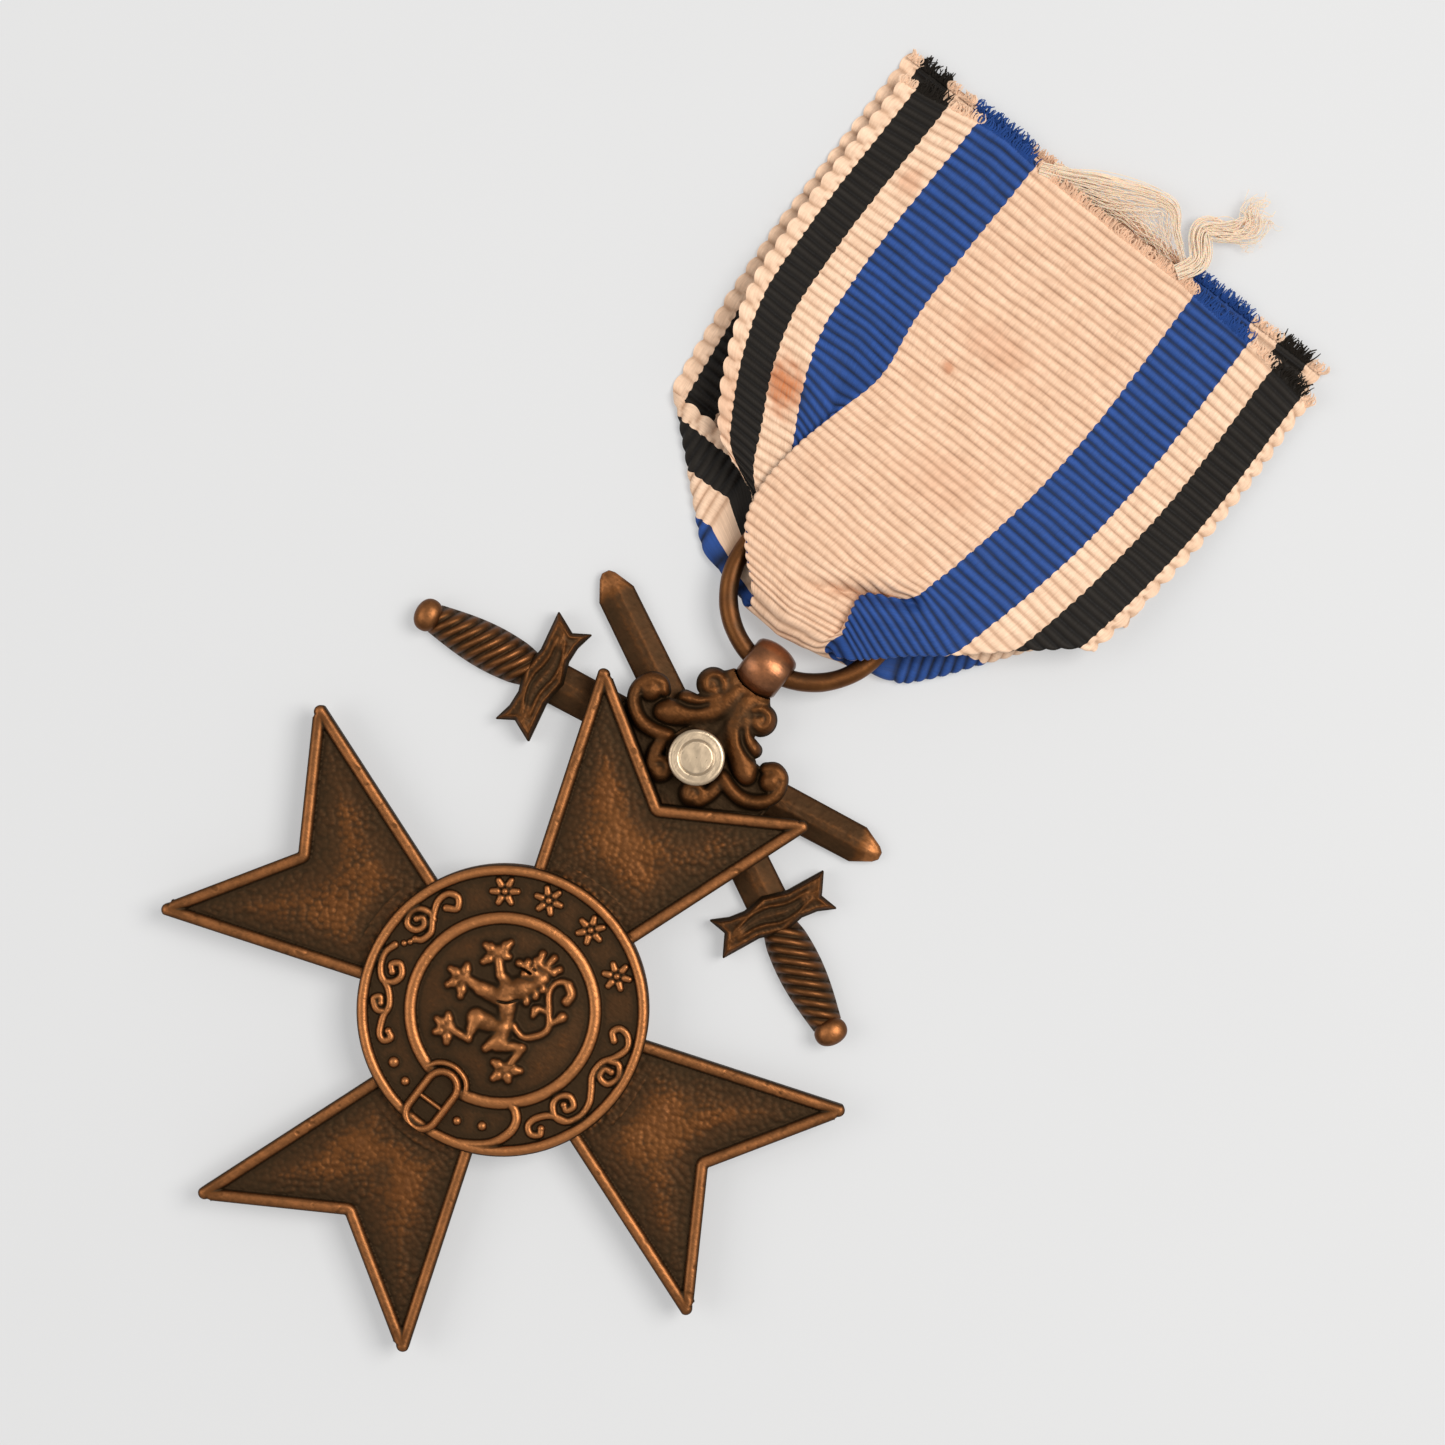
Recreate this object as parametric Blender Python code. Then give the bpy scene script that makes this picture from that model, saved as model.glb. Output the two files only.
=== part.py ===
"""Military-style award cross: a bronze cross with crossed swords, hung by a ring from a silk ribbon.

The medal lies on its back. +X is to the wearer's left as seen from the front, +Y runs up the
ribbon and +Z comes out of the front face. The origin is the middle of the back, on the surface
that the medal rests on. Lengths are written in millimetres and turned to metres by MM.
"""

import math

import bmesh
import bpy
from mathutils import Matrix, Vector

MM = 0.001

# Driving dimensions
RIBBON_WIDTH = 33.2
SOLDER_GAP = 0.05  # film between soldered faces
RUN_GAP = 0.3  # between the ring and the ribbon

# Cross outline. Rounding its tips brings it to 42 mm across.
TIP_X, TIP_Y = 21.6, 8.64  # a tip's sharp corner
NOTCH_REACH = 16.3  # centre to the bottom of the notch between two tips
WAIST = 1.557  # where neighbouring arms would meet, under the medallion
TIP_ROUND = 0.45
RIM_WIDTH = 0.7

# Levels above the resting surface
SWORD_BACK, SWORD_FRONT = 0.3, 0.98
CROSS_BACK, CROSS_FRONT = 1.1, 2.6
FIELD_BACK, FIELD_FRONT = 1.45, 2.25
RING_LEVEL = 1.8

# Medallions
MEDALLION_R = 9.2
MEDALLION_RIM = 0.45
MEDALLION_TOP = 3.1
BELT_OUT, BELT_IN = 6.2, 5.3  # the raised ring between border and centre
BUCKLE_HALF_WIDTH, BUCKLE_BAR = 1.2, 0.5
BUCKLE_TOP_Y, BUCKLE_LOW_Y = -4.8, -9.15

# Suspension
RIVET_Y = 20.0
RIVET_HEAD_R, RIVET_SHANK_R, RIVET_TAIL_R = 1.8, 0.6, 1.2
RIVET_TOP = 3.4
BRACKET_FRONT = 2.5
BALL_Y, BALL_R, BALL_HALF, BALL_END_R = 27.2, 1.72, 1.5, 1.35
RING_R, WIRE_R = 5.4, 0.6
RING_OFFSET = -0.35  # the ring has slid a little round through the ball
BALL_BORE_R = 0.98
RING_Y = BALL_Y + math.sqrt(RING_R**2 - RING_OFFSET**2)

# Swords: x runs from pommel to point, with 0 at the rivet
SWORD_ANGLES = {"sword_hilt_left": 9.5, "sword_hilt_right": 153.7}
POMMEL_X, POMMEL_R = -19.3, 0.83
GUARD_X, GUARD_HALF = -11.0, 4.0
BLADE_TIP_X, BLADE_SHOULDER_X, BLADE_HALF = 13.3, 11.8, 1.3
GRIP_FRONT, GUARD_FRONT = 1.85, 1.6
LAP_REACH = 4.6  # the lap runs this far each way from the rivet

# Ribbon
FOLD_Y, FOLD_Z = 41.0, 1.35  # where the two leaves bend above the ring
GATHER_TOP_Y = 39.4
LEAF_START_Y = 40.4
FRONT_END_Y, BACK_END_Y = 62.4, 63.9
FRONT_SHIFT, BACK_SHIFT = 0.65, -0.1  # the back leaf shows past the front leaf on the left
RIBBON_BASE = 0.05

BRONZE = ("patinated_bronze", (0.30, 0.16, 0.085, 1), 0.42, 1.0)
STEEL = ("nickel_silver", (0.66, 0.58, 0.50, 1), 0.30, 1.0)
SILK = ("ribbon_silk", (0.80, 0.66, 0.54, 1), 0.75, 0.0)


def material(spec):
    name, colour, roughness, metallic = spec
    mat = bpy.data.materials.get(name)
    if mat is None:
        mat = bpy.data.materials.new(name)
        mat.use_nodes = True
        shader = mat.node_tree.nodes["Principled BSDF"]
        shader.inputs["Base Color"].default_value = colour
        shader.inputs["Roughness"].default_value = roughness
        shader.inputs["Metallic"].default_value = metallic
    return mat


def put(name, bm, spec=BRONZE, smooth_deg=35):
    """Makes an object of a bmesh built in millimetres."""
    bmesh.ops.recalc_face_normals(bm, faces=bm.faces)
    bm.transform(Matrix.Scale(MM, 4))
    mesh = bpy.data.meshes.new(name)
    bm.to_mesh(mesh)
    bm.free()
    mesh.shade_smooth()
    mesh.set_sharp_from_angle(angle=math.radians(smooth_deg))
    mesh.materials.append(material(spec))
    obj = bpy.data.objects.new(name, mesh)
    bpy.context.scene.collection.objects.link(obj)
    return obj


def prism(outline, low, high):
    """A bmesh of an outline [(x, y), ...] run from z low to z high."""
    bm = bmesh.new()
    face = bm.faces.new([bm.verts.new((x, y, low)) for x, y in outline])
    raised = bmesh.ops.extrude_face_region(bm, geom=[face])
    top = [v for v in raised["geom"] if isinstance(v, bmesh.types.BMVert)]
    bmesh.ops.translate(bm, verts=top, vec=(0, 0, high - low))
    return bm


def turned(profile, segments):
    """A bmesh of a closed profile [(r, z), ...] turned round the Z axis. It starts and ends on the axis."""
    bm = bmesh.new()
    rings = []
    for r, z in profile:
        if r < 1e-6:
            rings.append([bm.verts.new((0, 0, z))])
            continue
        turns = [2 * math.pi * k / segments for k in range(segments)]
        rings.append([bm.verts.new((r * math.cos(a), r * math.sin(a), z)) for a in turns])
    for low, high in zip(rings, rings[1:]):
        for k in range(segments):
            n = (k + 1) % segments
            if len(low) == 1:
                bm.faces.new((low[0], high[k], high[n]))
            elif len(high) == 1:
                bm.faces.new((low[k], low[n], high[0]))
            else:
                bm.faces.new((low[k], low[n], high[n], high[k]))
    return bm


def bridge(bm, a, b):
    """Faces between two rings of vertices of equal count."""
    for k in range(len(a)):
        n = (k + 1) % len(a)
        bm.faces.new((a[k], a[n], b[n], b[k]))


def lofted(sections):
    """A bmesh of triangles through rings of points, capped at both ends."""
    bm = bmesh.new()
    rings = [[bm.verts.new(p) for p in ring] for ring in sections]
    for a, b in zip(rings, rings[1:]):
        bridge(bm, a, b)
    bmesh.ops.triangulate(bm, faces=bm.faces)
    bm.faces.new(rings[0])
    bm.faces.new(rings[-1])
    return bm


def combine(obj, helpers, operation):
    """Joins or cuts obj with helper objects, which stay hidden."""
    for helper in helpers:
        helper.hide_render = True
        helper.display_type = "WIRE"
        modifier = obj.modifiers.new(helper.name, "BOOLEAN")
        modifier.operation = operation
        modifier.solver = "EXACT"
        modifier.object = helper


def fillet(points, radii, steps=4):
    """The outline with an arc of the given radius at each corner that has one."""
    rounded = []
    for i, (x, y) in enumerate(points):
        radius = radii[i]
        if not radius:
            rounded.append((x, y))
            continue
        here = Vector((x, y))
        before = (Vector(points[i - 1]) - here).normalized()
        after = (Vector(points[(i + 1) % len(points)]) - here).normalized()
        half = before.angle(after) / 2
        middle = here + (before + after).normalized() * radius / math.sin(half)
        start = here + before * radius / math.tan(half) - middle
        end = here + after * radius / math.tan(half) - middle
        sweep = start.angle_signed(end)
        for k in range(steps + 1):
            turn = Matrix.Rotation(-sweep * k / steps, 2)
            rounded.append(tuple(middle + turn @ start))
    return rounded


def inset(points, distance):
    """The outline moved inwards; its points run anticlockwise."""
    moved = []
    for i in range(len(points)):
        a, b, c = (Vector(points[j % len(points)]) for j in (i - 1, i, i + 1))
        along, onward = (b - a).normalized(), (c - b).normalized()
        inward = Vector((-along.y, along.x))
        lean = inward + Vector((-onward.y, onward.x))
        moved.append(tuple(b + lean * distance / lean.dot(inward)))
    return moved


def circle(radius, centre=(0, 0), count=32):
    turns = [2 * math.pi * k / count for k in range(count)]
    return [(centre[0] + radius * math.cos(a), centre[1] + radius * math.sin(a)) for a in turns]


def stroke(points, half_width):
    """The outline of a band that follows points."""
    left, right = [], []
    for i, p in enumerate(points):
        a, b = Vector(points[max(i - 1, 0)]), Vector(points[min(i + 1, len(points) - 1)])
        along = (b - a).normalized()
        side = Vector((-along.y, along.x)) * half_width
        left.append(tuple(Vector(p) + side))
        right.append(tuple(Vector(p) - side))
    return right + left[::-1]


def arc(centre, radius, start_deg, end_deg, count=10, shrink=0.0):
    """Points round an arc, whose radius falls by shrink towards its end."""
    found = []
    for k in range(count + 1):
        t = k / count
        a = math.radians(start_deg + (end_deg - start_deg) * t)
        r = radius - shrink * t
        found.append((centre[0] + r * math.cos(a), centre[1] + r * math.sin(a)))
    return found


def cross_corners():
    """The sharp corners of the cross, anticlockwise from the right arm's lower waist."""
    arm = [(WAIST, -WAIST), (TIP_X, -TIP_Y), (NOTCH_REACH, 0), (TIP_X, TIP_Y)]
    corners = []
    for quarter in range(4):
        turn = Matrix.Rotation(math.radians(90 * quarter), 2)
        corners += [tuple(turn @ Vector(p)) for p in arm]
    return corners


def cross():
    corners = cross_corners()
    outline = fillet(corners, [0, TIP_ROUND, 0, TIP_ROUND] * 4)
    body = put("cross", prism(outline, CROSS_BACK, CROSS_FRONT))
    field = inset(corners, RIM_WIDTH)
    seat = circle(MEDALLION_R + SOLDER_GAP, count=48)
    cutters = []
    for side, low, high in (("front", FIELD_FRONT, 4), ("back", 0, FIELD_BACK)):
        cutters.append(put(f"cut_field_{side}", prism(field, low, high)))
        cutters.append(put(f"cut_seat_{side}", prism(seat, low, high)))
    combine(body, cutters, "DIFFERENCE")
    return body


def obverse_medallion():
    base, field = FIELD_FRONT + SOLDER_GAP, MEDALLION_TOP - 0.3
    rim_in = MEDALLION_R - MEDALLION_RIM
    profile = [
        (0, base),
        (MEDALLION_R, base),
        (MEDALLION_R, MEDALLION_TOP - 0.12),
        (MEDALLION_R - 0.15, MEDALLION_TOP),
        (rim_in + 0.1, MEDALLION_TOP),
        (rim_in, field),
        (BELT_OUT, field),
        (BELT_OUT - 0.2, MEDALLION_TOP),
        (BELT_IN + 0.2, MEDALLION_TOP),
        (BELT_IN, field),
        (BELT_IN / 2, field + 0.12),
        (0, field + 0.16),
    ]
    disc = put("obverse_medallion", turned(profile, 48))
    half, bar = BUCKLE_HALF_WIDTH, BUCKLE_BAR
    low_centre, high_centre = BUCKLE_LOW_Y + half, BUCKLE_TOP_Y - half

    def stadium(r):
        return arc((0, low_centre), r, 180, 360) + arc((0, high_centre), r, 0, 180)

    buckle = put("join_buckle", prism(stadium(half), base + 0.1, MEDALLION_TOP + 0.2))
    hole = put("cut_buckle", prism(stadium(half - bar), MEDALLION_TOP - 0.25, 4))
    combine(disc, [buckle], "UNION")
    combine(disc, [hole], "DIFFERENCE")
    return disc


def reverse_medallion():
    profile = [
        (0, 0),
        (MEDALLION_R - 0.3, 0),
        (MEDALLION_R, 0.25),
        (MEDALLION_R, FIELD_BACK - SOLDER_GAP),
        (0, FIELD_BACK - SOLDER_GAP),
    ]
    return put("reverse_medallion", turned(profile, 48))


def blade(lap):
    """The blade, with a ridge down its front. Its lap, a range of z, is cut away at the crossing."""
    back, edge, ridge = SWORD_BACK, SWORD_FRONT - 0.3, SWORD_FRONT
    sections = []
    for x, half in ((GUARD_X, BLADE_HALF + 0.1), (BLADE_SHOULDER_X, BLADE_HALF - 0.1), (BLADE_TIP_X, 0.15)):
        top = ridge if half > 0.5 else edge + 0.1
        sections.append([(x, -half, back), (x, half, back), (x, half, edge), (x, 0, top), (x, -half, edge)])
    steel = put("blade", lofted(sections))
    box = [(-LAP_REACH, -3), (LAP_REACH, -3), (LAP_REACH, 3), (-LAP_REACH, 3)]
    return steel, put("cut_lap", prism(box, *lap))


def guard_outline():
    """The cross guard: waisted arms that end in two points each."""
    right = [(0.95, 0.0), (1.25, 0.0), (0.8, 1.5), (0.95, 2.6), (1.4, 3.7), (0.25, 3.25), (-1.25, 4.0)]
    left = [(-0.95, 2.6), (-0.8, 1.5), (-1.25, 0.0)]
    upper = right[1:] + left
    lower = [(-x, -y) for x, y in upper[1:-1]]
    return [(GUARD_X + x, y) for x, y in upper + lower]


def grip():
    """The grip: a half-round bar that swells in the middle."""
    sections = []
    steps, sides = 8, 8
    start, end = POMMEL_X + 0.4, GUARD_X - 0.4
    for k in range(steps + 1):
        t = k / steps
        half = 0.8 + 0.65 * math.sin(math.pi * (0.12 + 0.75 * t))
        rise = (GRIP_FRONT - SWORD_BACK) * (0.72 + 0.28 * math.sin(math.pi * t))
        x = start + (end - start) * t
        ring = [(x, half * math.cos(a), SWORD_BACK - 0.02 + rise * math.sin(a))
                for a in (math.pi * s / sides for s in range(sides + 1))]
        sections.append(ring)
    return put("join_grip", lofted(sections))


def sword(name, angle_deg, lap):
    steel, lap_cut = blade(lap)
    steel.name = steel.data.name = name
    guard = put("join_guard", prism(guard_outline(), SWORD_BACK - 0.04, GUARD_FRONT))
    turns = [math.pi * k / 10 for k in range(1, 10)]
    half_round = [(POMMEL_R * math.sin(a), -POMMEL_R * math.cos(a)) for a in turns]
    pommel = put("join_pommel", turned([(0, -POMMEL_R)] + half_round + [(0, POMMEL_R)], 16))
    lift = SWORD_BACK + POMMEL_R - 0.1
    pommel.data.transform(Matrix.Translation(Vector((POMMEL_X, 0.0, lift)) * MM))
    hole = put("cut_pivot", prism(circle(RIVET_SHANK_R + 0.1, count=18), -1, 4))
    hole.data.transform(Matrix.Rotation(math.radians(7), 4, "Z"))
    helpers = [guard, grip(), pommel]
    combine(steel, helpers, "UNION")
    combine(steel, [hole, lap_cut], "DIFFERENCE")
    for obj in [steel, lap_cut, hole, *helpers]:
        obj.location = (0, RIVET_Y * MM, 0)
        obj.rotation_euler = (0, 0, math.radians(angle_deg))
    return steel


def bracket():
    """The pierced scroll plate in the notch of the top arm."""
    back, front = CROSS_BACK, BRACKET_FRONT
    spine = [
        (1.9, RIVET_Y + 0.4), (3.5, 20.9), (3.2, 22.4), (2.05, 23.4), (2.3, 23.9), (2.85, 24.5),
        (2.5, 25.3), (1.55, 25.7), (1.45, 26.9),
    ]
    outline = spine + [(-x, y) for x, y in reversed(spine)]
    plate = put("suspension_bracket", prism(outline, back, front))
    shapes = [prism(circle(RIVET_HEAD_R + 0.35, (0, RIVET_Y), 28), back, front - 0.05)]
    for side in (1, -1):
        scroll = [(1.2, 19.3), (2.4, 19.05), (3.7, 19.25)] + arc((4.65, 21.15), 1.35, -72, 190, 14, 0.75)
        curl = arc((0.95, 18.0), 0.85, 100, -150, 9, 0.3)
        for points, half in ((scroll, 0.36), (curl, 0.36)):
            placed = [(side * x, y) for x, y in points]
            shapes.append(prism(stroke(placed, half), back + 0.05, front - 0.1))
    joins = [put(f"join_scroll_{k}", bm) for k, bm in enumerate(shapes)]
    combine(plate, joins, "UNION")
    seat = BALL_R + SOLDER_GAP
    saddle = put("cut_saddle", turned([(0, -3), (seat, -3), (seat, 3), (0, 3)], 40))
    saddle.data.transform(Matrix.Rotation(math.pi / 2, 4, "Y"))
    saddle.data.transform(Matrix.Translation(Vector((0, BALL_Y, RING_LEVEL)) * MM))
    hole = put("cut_rivet_hole", prism(circle(RIVET_SHANK_R + 0.1, (0, RIVET_Y), 20), 0, 4))
    notch = inset(cross_corners(), -SOLDER_GAP)
    arms = put("cut_notch", prism(notch, 0, 4))
    combine(plate, [saddle, hole, arms], "DIFFERENCE")
    return plate


def ball():
    """The barrel that the ring runs through."""
    count = 8
    outer = []
    for k in range(count + 1):
        x = BALL_HALF * (2 * k / count - 1)
        outer.append((BALL_R - (BALL_R - BALL_END_R) * (x / BALL_HALF) ** 2, x))
    profile = [(BALL_BORE_R, -BALL_HALF)] + outer + [(BALL_BORE_R, BALL_HALF)]
    bm = bmesh.new()
    rings = []
    for r, x in profile:
        wall = circle(r, (BALL_Y, RING_LEVEL), 28)
        rings.append([bm.verts.new((x, y, z)) for y, z in wall])
    for a, b in zip(rings, rings[1:] + rings[:1]):
        bridge(bm, a, b)
    return put("suspension_ball", bm)


def ring():
    bm = bmesh.new()
    around = 56
    loops = []
    for k in range(around):
        a = 2 * math.pi * k / around
        wire = circle(WIRE_R, (RING_R, RING_LEVEL), 12)
        places = [(RING_OFFSET + r * math.cos(a), RING_Y + r * math.sin(a), z) for r, z in wire]
        loops.append([bm.verts.new(place) for place in places])
    for a, b in zip(loops, loops[1:] + loops[:1]):
        bridge(bm, a, b)
    return put("suspension_ring", bm)


def rivet():
    head = BRACKET_FRONT + SOLDER_GAP
    tail = SWORD_BACK - SOLDER_GAP
    profile = [
        (0, RIBBON_BASE),
        (RIVET_TAIL_R - 0.15, RIBBON_BASE),
        (RIVET_TAIL_R, tail - 0.08),
        (RIVET_TAIL_R, tail),
        (RIVET_SHANK_R, tail),
        (RIVET_SHANK_R, head),
        (RIVET_HEAD_R, head),
        (RIVET_HEAD_R, RIVET_TOP - 0.12),
        (RIVET_HEAD_R - 0.12, RIVET_TOP),
        (0, RIVET_TOP),
    ]
    bm = turned(profile, 32)
    bmesh.ops.translate(bm, verts=bm.verts, vec=(0, RIVET_Y, 0))
    return put("rivet", bm, STEEL)


def ribbon_gather():
    """The ribbon where it is folded together and passes through the ring."""
    front = [
        (-13.5, GATHER_TOP_Y), (-11.5, 37.6), (-7.6, 35.2), (-6.4, 32.5), (-4.2, 30.4), (-2.2, 29.55),
        (1.5, 29.7), (3.8, 31.0), (6.5, 33.6), (9.0, 35.0), (12.6, 37.4), (15.4, GATHER_TOP_Y),
    ]
    back = [
        (-16.6, GATHER_TOP_Y), (-15.4, 37.3), (-6.3, 30.0), (-3.0, 30.0), (2.0, 30.0), (4.9, 31.1),
        (8.4, 31.8), (11.9, 36.2), (15.6, GATHER_TOP_Y),
    ]
    bend = [(-3.5, 31.4), (-2.9, 30.4), (-1.8, 29.6), (1.2, 29.6), (2.7, 30.2), (3.4, 31.4)]
    layer = 0.55
    over = RING_LEVEL + WIRE_R + RUN_GAP
    under = RING_LEVEL - WIRE_R - RUN_GAP
    piece = put("ribbon_gather", prism(front, over, over + layer + 0.05), SILK)
    joins = [
        put("join_back", prism(back, RIBBON_BASE, under), SILK),
        put("join_bend", prism(bend, RIBBON_BASE + 0.1, over + layer), SILK),
    ]
    combine(piece, joins, "UNION")
    return piece


def ribbon_leaf(name, left, right, end_y, start_z, end_z, thickness):
    """One flat end of the ribbon, from the fold above the ring to its cut end."""
    section = []
    for y, z in ((LEAF_START_Y, start_z), (LEAF_START_Y + 4, start_z * 0.8 + end_z * 0.2), (end_y, end_z)):
        section.append([(left, y, z), (right, y, z), (right, y, z + thickness), (left, y, z + thickness)])
    return put(name, lofted(section), SILK)


def build():
    for obj in list(bpy.data.objects):
        bpy.data.objects.remove(obj)
    cross()
    obverse_medallion()
    reverse_medallion()
    middle = (SWORD_BACK + SWORD_FRONT) / 2
    half_gap = SOLDER_GAP / 2
    laps = ((middle - half_gap, 3), (-1, middle + half_gap))
    for (name, angle), lap in zip(SWORD_ANGLES.items(), laps):
        sword(name, angle, lap)
    bracket()
    ball()
    ring()
    rivet()
    ribbon_gather()
    half = RIBBON_WIDTH / 2
    front = (FRONT_SHIFT - half, FRONT_SHIFT + half)
    back = (BACK_SHIFT - half, BACK_SHIFT + half)
    ribbon_leaf("ribbon_front_leaf", *front, FRONT_END_Y, FOLD_Z + 0.75, 0.7, 0.5)
    ribbon_leaf("ribbon_back_leaf", *back, BACK_END_Y, RIBBON_BASE, RIBBON_BASE, 0.5)


build()
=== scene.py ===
"""The looks of a bronze award cross with crossed swords, on a folded ribbon of ribbed silk.

Lengths are in millimetres in the row frame and turn to metres where a mesh is made.
Metal relief is worked out as a height over a fine grid, from strokes, domes and outlines.
"""

import math
from functools import partial

import bpy
import numpy as np
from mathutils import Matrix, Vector


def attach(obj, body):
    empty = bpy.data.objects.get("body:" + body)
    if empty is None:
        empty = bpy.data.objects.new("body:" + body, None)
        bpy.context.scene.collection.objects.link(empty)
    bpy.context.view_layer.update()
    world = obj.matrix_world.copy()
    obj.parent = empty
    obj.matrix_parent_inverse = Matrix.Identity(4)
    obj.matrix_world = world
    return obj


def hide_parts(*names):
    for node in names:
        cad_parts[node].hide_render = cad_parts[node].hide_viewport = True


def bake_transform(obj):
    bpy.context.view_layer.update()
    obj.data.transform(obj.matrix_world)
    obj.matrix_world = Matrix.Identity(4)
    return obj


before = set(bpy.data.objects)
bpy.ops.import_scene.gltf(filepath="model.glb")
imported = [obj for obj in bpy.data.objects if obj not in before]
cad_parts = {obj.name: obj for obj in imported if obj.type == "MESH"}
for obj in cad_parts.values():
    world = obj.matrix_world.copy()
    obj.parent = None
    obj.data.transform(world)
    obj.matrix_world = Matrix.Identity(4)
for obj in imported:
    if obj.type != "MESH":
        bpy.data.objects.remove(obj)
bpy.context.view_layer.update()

MM = 0.001

# The cross
TIP_X, TIP_Y = 21.6, 8.64
NOTCH_REACH = 16.3
WAIST = 1.557
CROSS_BACK, CROSS_FRONT = 1.1, 2.6
FIELD_DEPTH = 0.36
RIM = 0.78
TIP_CENTRE, TIP_ROUNDING = (20.6, 7.88), 0.42
CROSS_HOLE_R = 8.55
CROSS_REACH = 21.4

# Medallions
MEDALLION_R, MEDALLION_REACH = 9.2, 9.3
MEDALLION_FIELD = 2.74
OBVERSE_BACK, REVERSE_FRONT = 2.27, 1.38
BELT_R, BELT_HALF = 5.83, 0.42

# Suspension
RIVET = (0.0, 20.0)
BALL = (0.0, 27.2, 1.8)
BALL_HALF, BALL_R, BALL_END_R, BALL_BORE_R = 1.47, 1.72, 1.30, 0.98
BALL_GAP = 0.04  # between the ball and the bracket's neck
RING_R, WIRE_R = 5.4, 0.6
RING = (-0.35, 32.589, 1.8)
SWORD_ANGLES = {"sword_hilt_left": 9.5, "sword_hilt_right": 153.7}


# ---------------------------------------------------------------- fields over a grid


def scatter(ix, iy, seed):
    """A repeatable random number from 0 to 1 for each pair of whole numbers."""
    h = ix.astype(np.int64) * 374761393 + iy.astype(np.int64) * 668265263 + seed * 974634777
    h = (h ^ (h >> 13)) & 0x7FFFFFFF
    h = (h * 1274126177) & 0x7FFFFFFF
    return ((h ^ (h >> 16)) & 0xFFFFF) / 0xFFFFF


def soft_noise(x, y, cell, seed):
    """Smooth noise from 0 to 1 that changes over a distance of cell."""
    gx, gy = np.floor(x / cell), np.floor(y / cell)
    fx, fy = x / cell - gx, y / cell - gy
    fx, fy = fx * fx * (3 - 2 * fx), fy * fy * (3 - 2 * fy)
    low = scatter(gx, gy, seed) * (1 - fx) + scatter(gx + 1, gy, seed) * fx
    high = scatter(gx, gy + 1, seed) * (1 - fx) + scatter(gx + 1, gy + 1, seed) * fx
    return low * (1 - fy) + high * fy


def uneven(x, y, cell, seed, amount):
    """Smooth noise about 0, amount from its lowest to its highest."""
    return amount * (soft_noise(x, y, cell, seed) - 0.5)


def pebbles(x, y, cell, seed):
    """Round grains about a cell across, 1 at their tops and 0 between them."""
    gx, gy = np.floor(x / cell), np.floor(y / cell)
    near = np.full(x.shape, 9.0)
    for i in (-1, 0, 1):
        for j in (-1, 0, 1):
            px = gx + i + scatter(gx + i, gy + j, seed)
            py = gy + j + scatter(gx + i, gy + j, seed + 7)
            near = np.minimum(near, np.hypot(x / cell - px, y / cell - py))
    return np.clip(1 - (near / 0.72) ** 2, 0, 1)


def blurred(z, sigma):
    """z smoothed by a bell curve, whose width sigma is in grid steps."""
    pad = int(4 * sigma) + 2
    wide = np.pad(z, pad, mode="edge")
    fy = np.fft.fftfreq(wide.shape[0])[:, None]
    fx = np.fft.rfftfreq(wide.shape[1])[None, :]
    low = np.exp(-2 * (math.pi * sigma) ** 2 * (fx**2 + fy**2))
    smooth = np.fft.irfft2(np.fft.rfft2(wide) * low, s=wide.shape)
    return smooth[pad:-pad, pad:-pad]


def outline_distance(x, y, points):
    """Distance to a polygon's edge, less than 0 inside it."""
    near = np.full(x.shape, 1e9)
    sign = np.ones(x.shape)
    for (ax, ay), (bx, by) in zip(points, points[1:] + points[:1]):
        ex, ey = bx - ax, by - ay
        wx, wy = x - ax, y - ay
        t = np.clip((wx * ex + wy * ey) / (ex * ex + ey * ey), 0, 1)
        near = np.minimum(near, (wx - ex * t) ** 2 + (wy - ey * t) ** 2)
        side = ex * wy - ey * wx
        up = (y >= ay) & (y < by) & (side > 0)
        down = (y < ay) & (y >= by) & (side <= 0)
        sign = np.where(up | down, -sign, sign)
    return sign * np.sqrt(near)


def unit(t):
    """t held between 0 and 1."""
    return np.clip(t, 0, 1)


def smooth_step(t):
    """An eased climb from 0 to 1."""
    t = unit(t)
    return t * t * (3 - 2 * t)


def bell(t):
    """A bump that is 1 at 0 and fades over a distance of 1."""
    return np.exp(-(t**2))


def turned(points, degrees, centre=(0, 0)):
    """Points turned about a centre."""
    c, s = math.cos(math.radians(degrees)), math.sin(math.radians(degrees))
    cx, cy = centre
    return [(cx + c * (x - cx) - s * (y - cy), cy + s * (x - cx) + c * (y - cy)) for x, y in points]


def curve(points, steps=8):
    """A smooth line through points."""
    pts = [np.array(p, float) for p in points]
    pts = [2 * pts[0] - pts[1]] + pts + [2 * pts[-1] - pts[-2]]
    line = []
    for a, b, c, d in zip(pts, pts[1:], pts[2:], pts[3:]):
        for k in range(steps):
            t = k / steps
            bend, twist = 2 * a - 5 * b + 4 * c - d, 3 * b - a - 3 * c + d
            line.append(tuple(0.5 * (2 * b + (c - a) * t + bend * t**2 + twist * t**3)))
    line.append(tuple(pts[-2]))
    return line


def on_circle(centre, r, angle):
    """The point at distance r from centre, at an angle in radians."""
    return centre[0] + r * math.cos(angle), centre[1] + r * math.sin(angle)


def spiral(centre, r0, r1, start, end, steps=22):
    """Points round centre from angle start to end in degrees, as the radius goes from r0 to r1."""
    line = []
    for k in range(steps + 1):
        t = k / steps
        line.append(on_circle(centre, r0 + (r1 - r0) * t, math.radians(start + (end - start) * t)))
    return line


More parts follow.
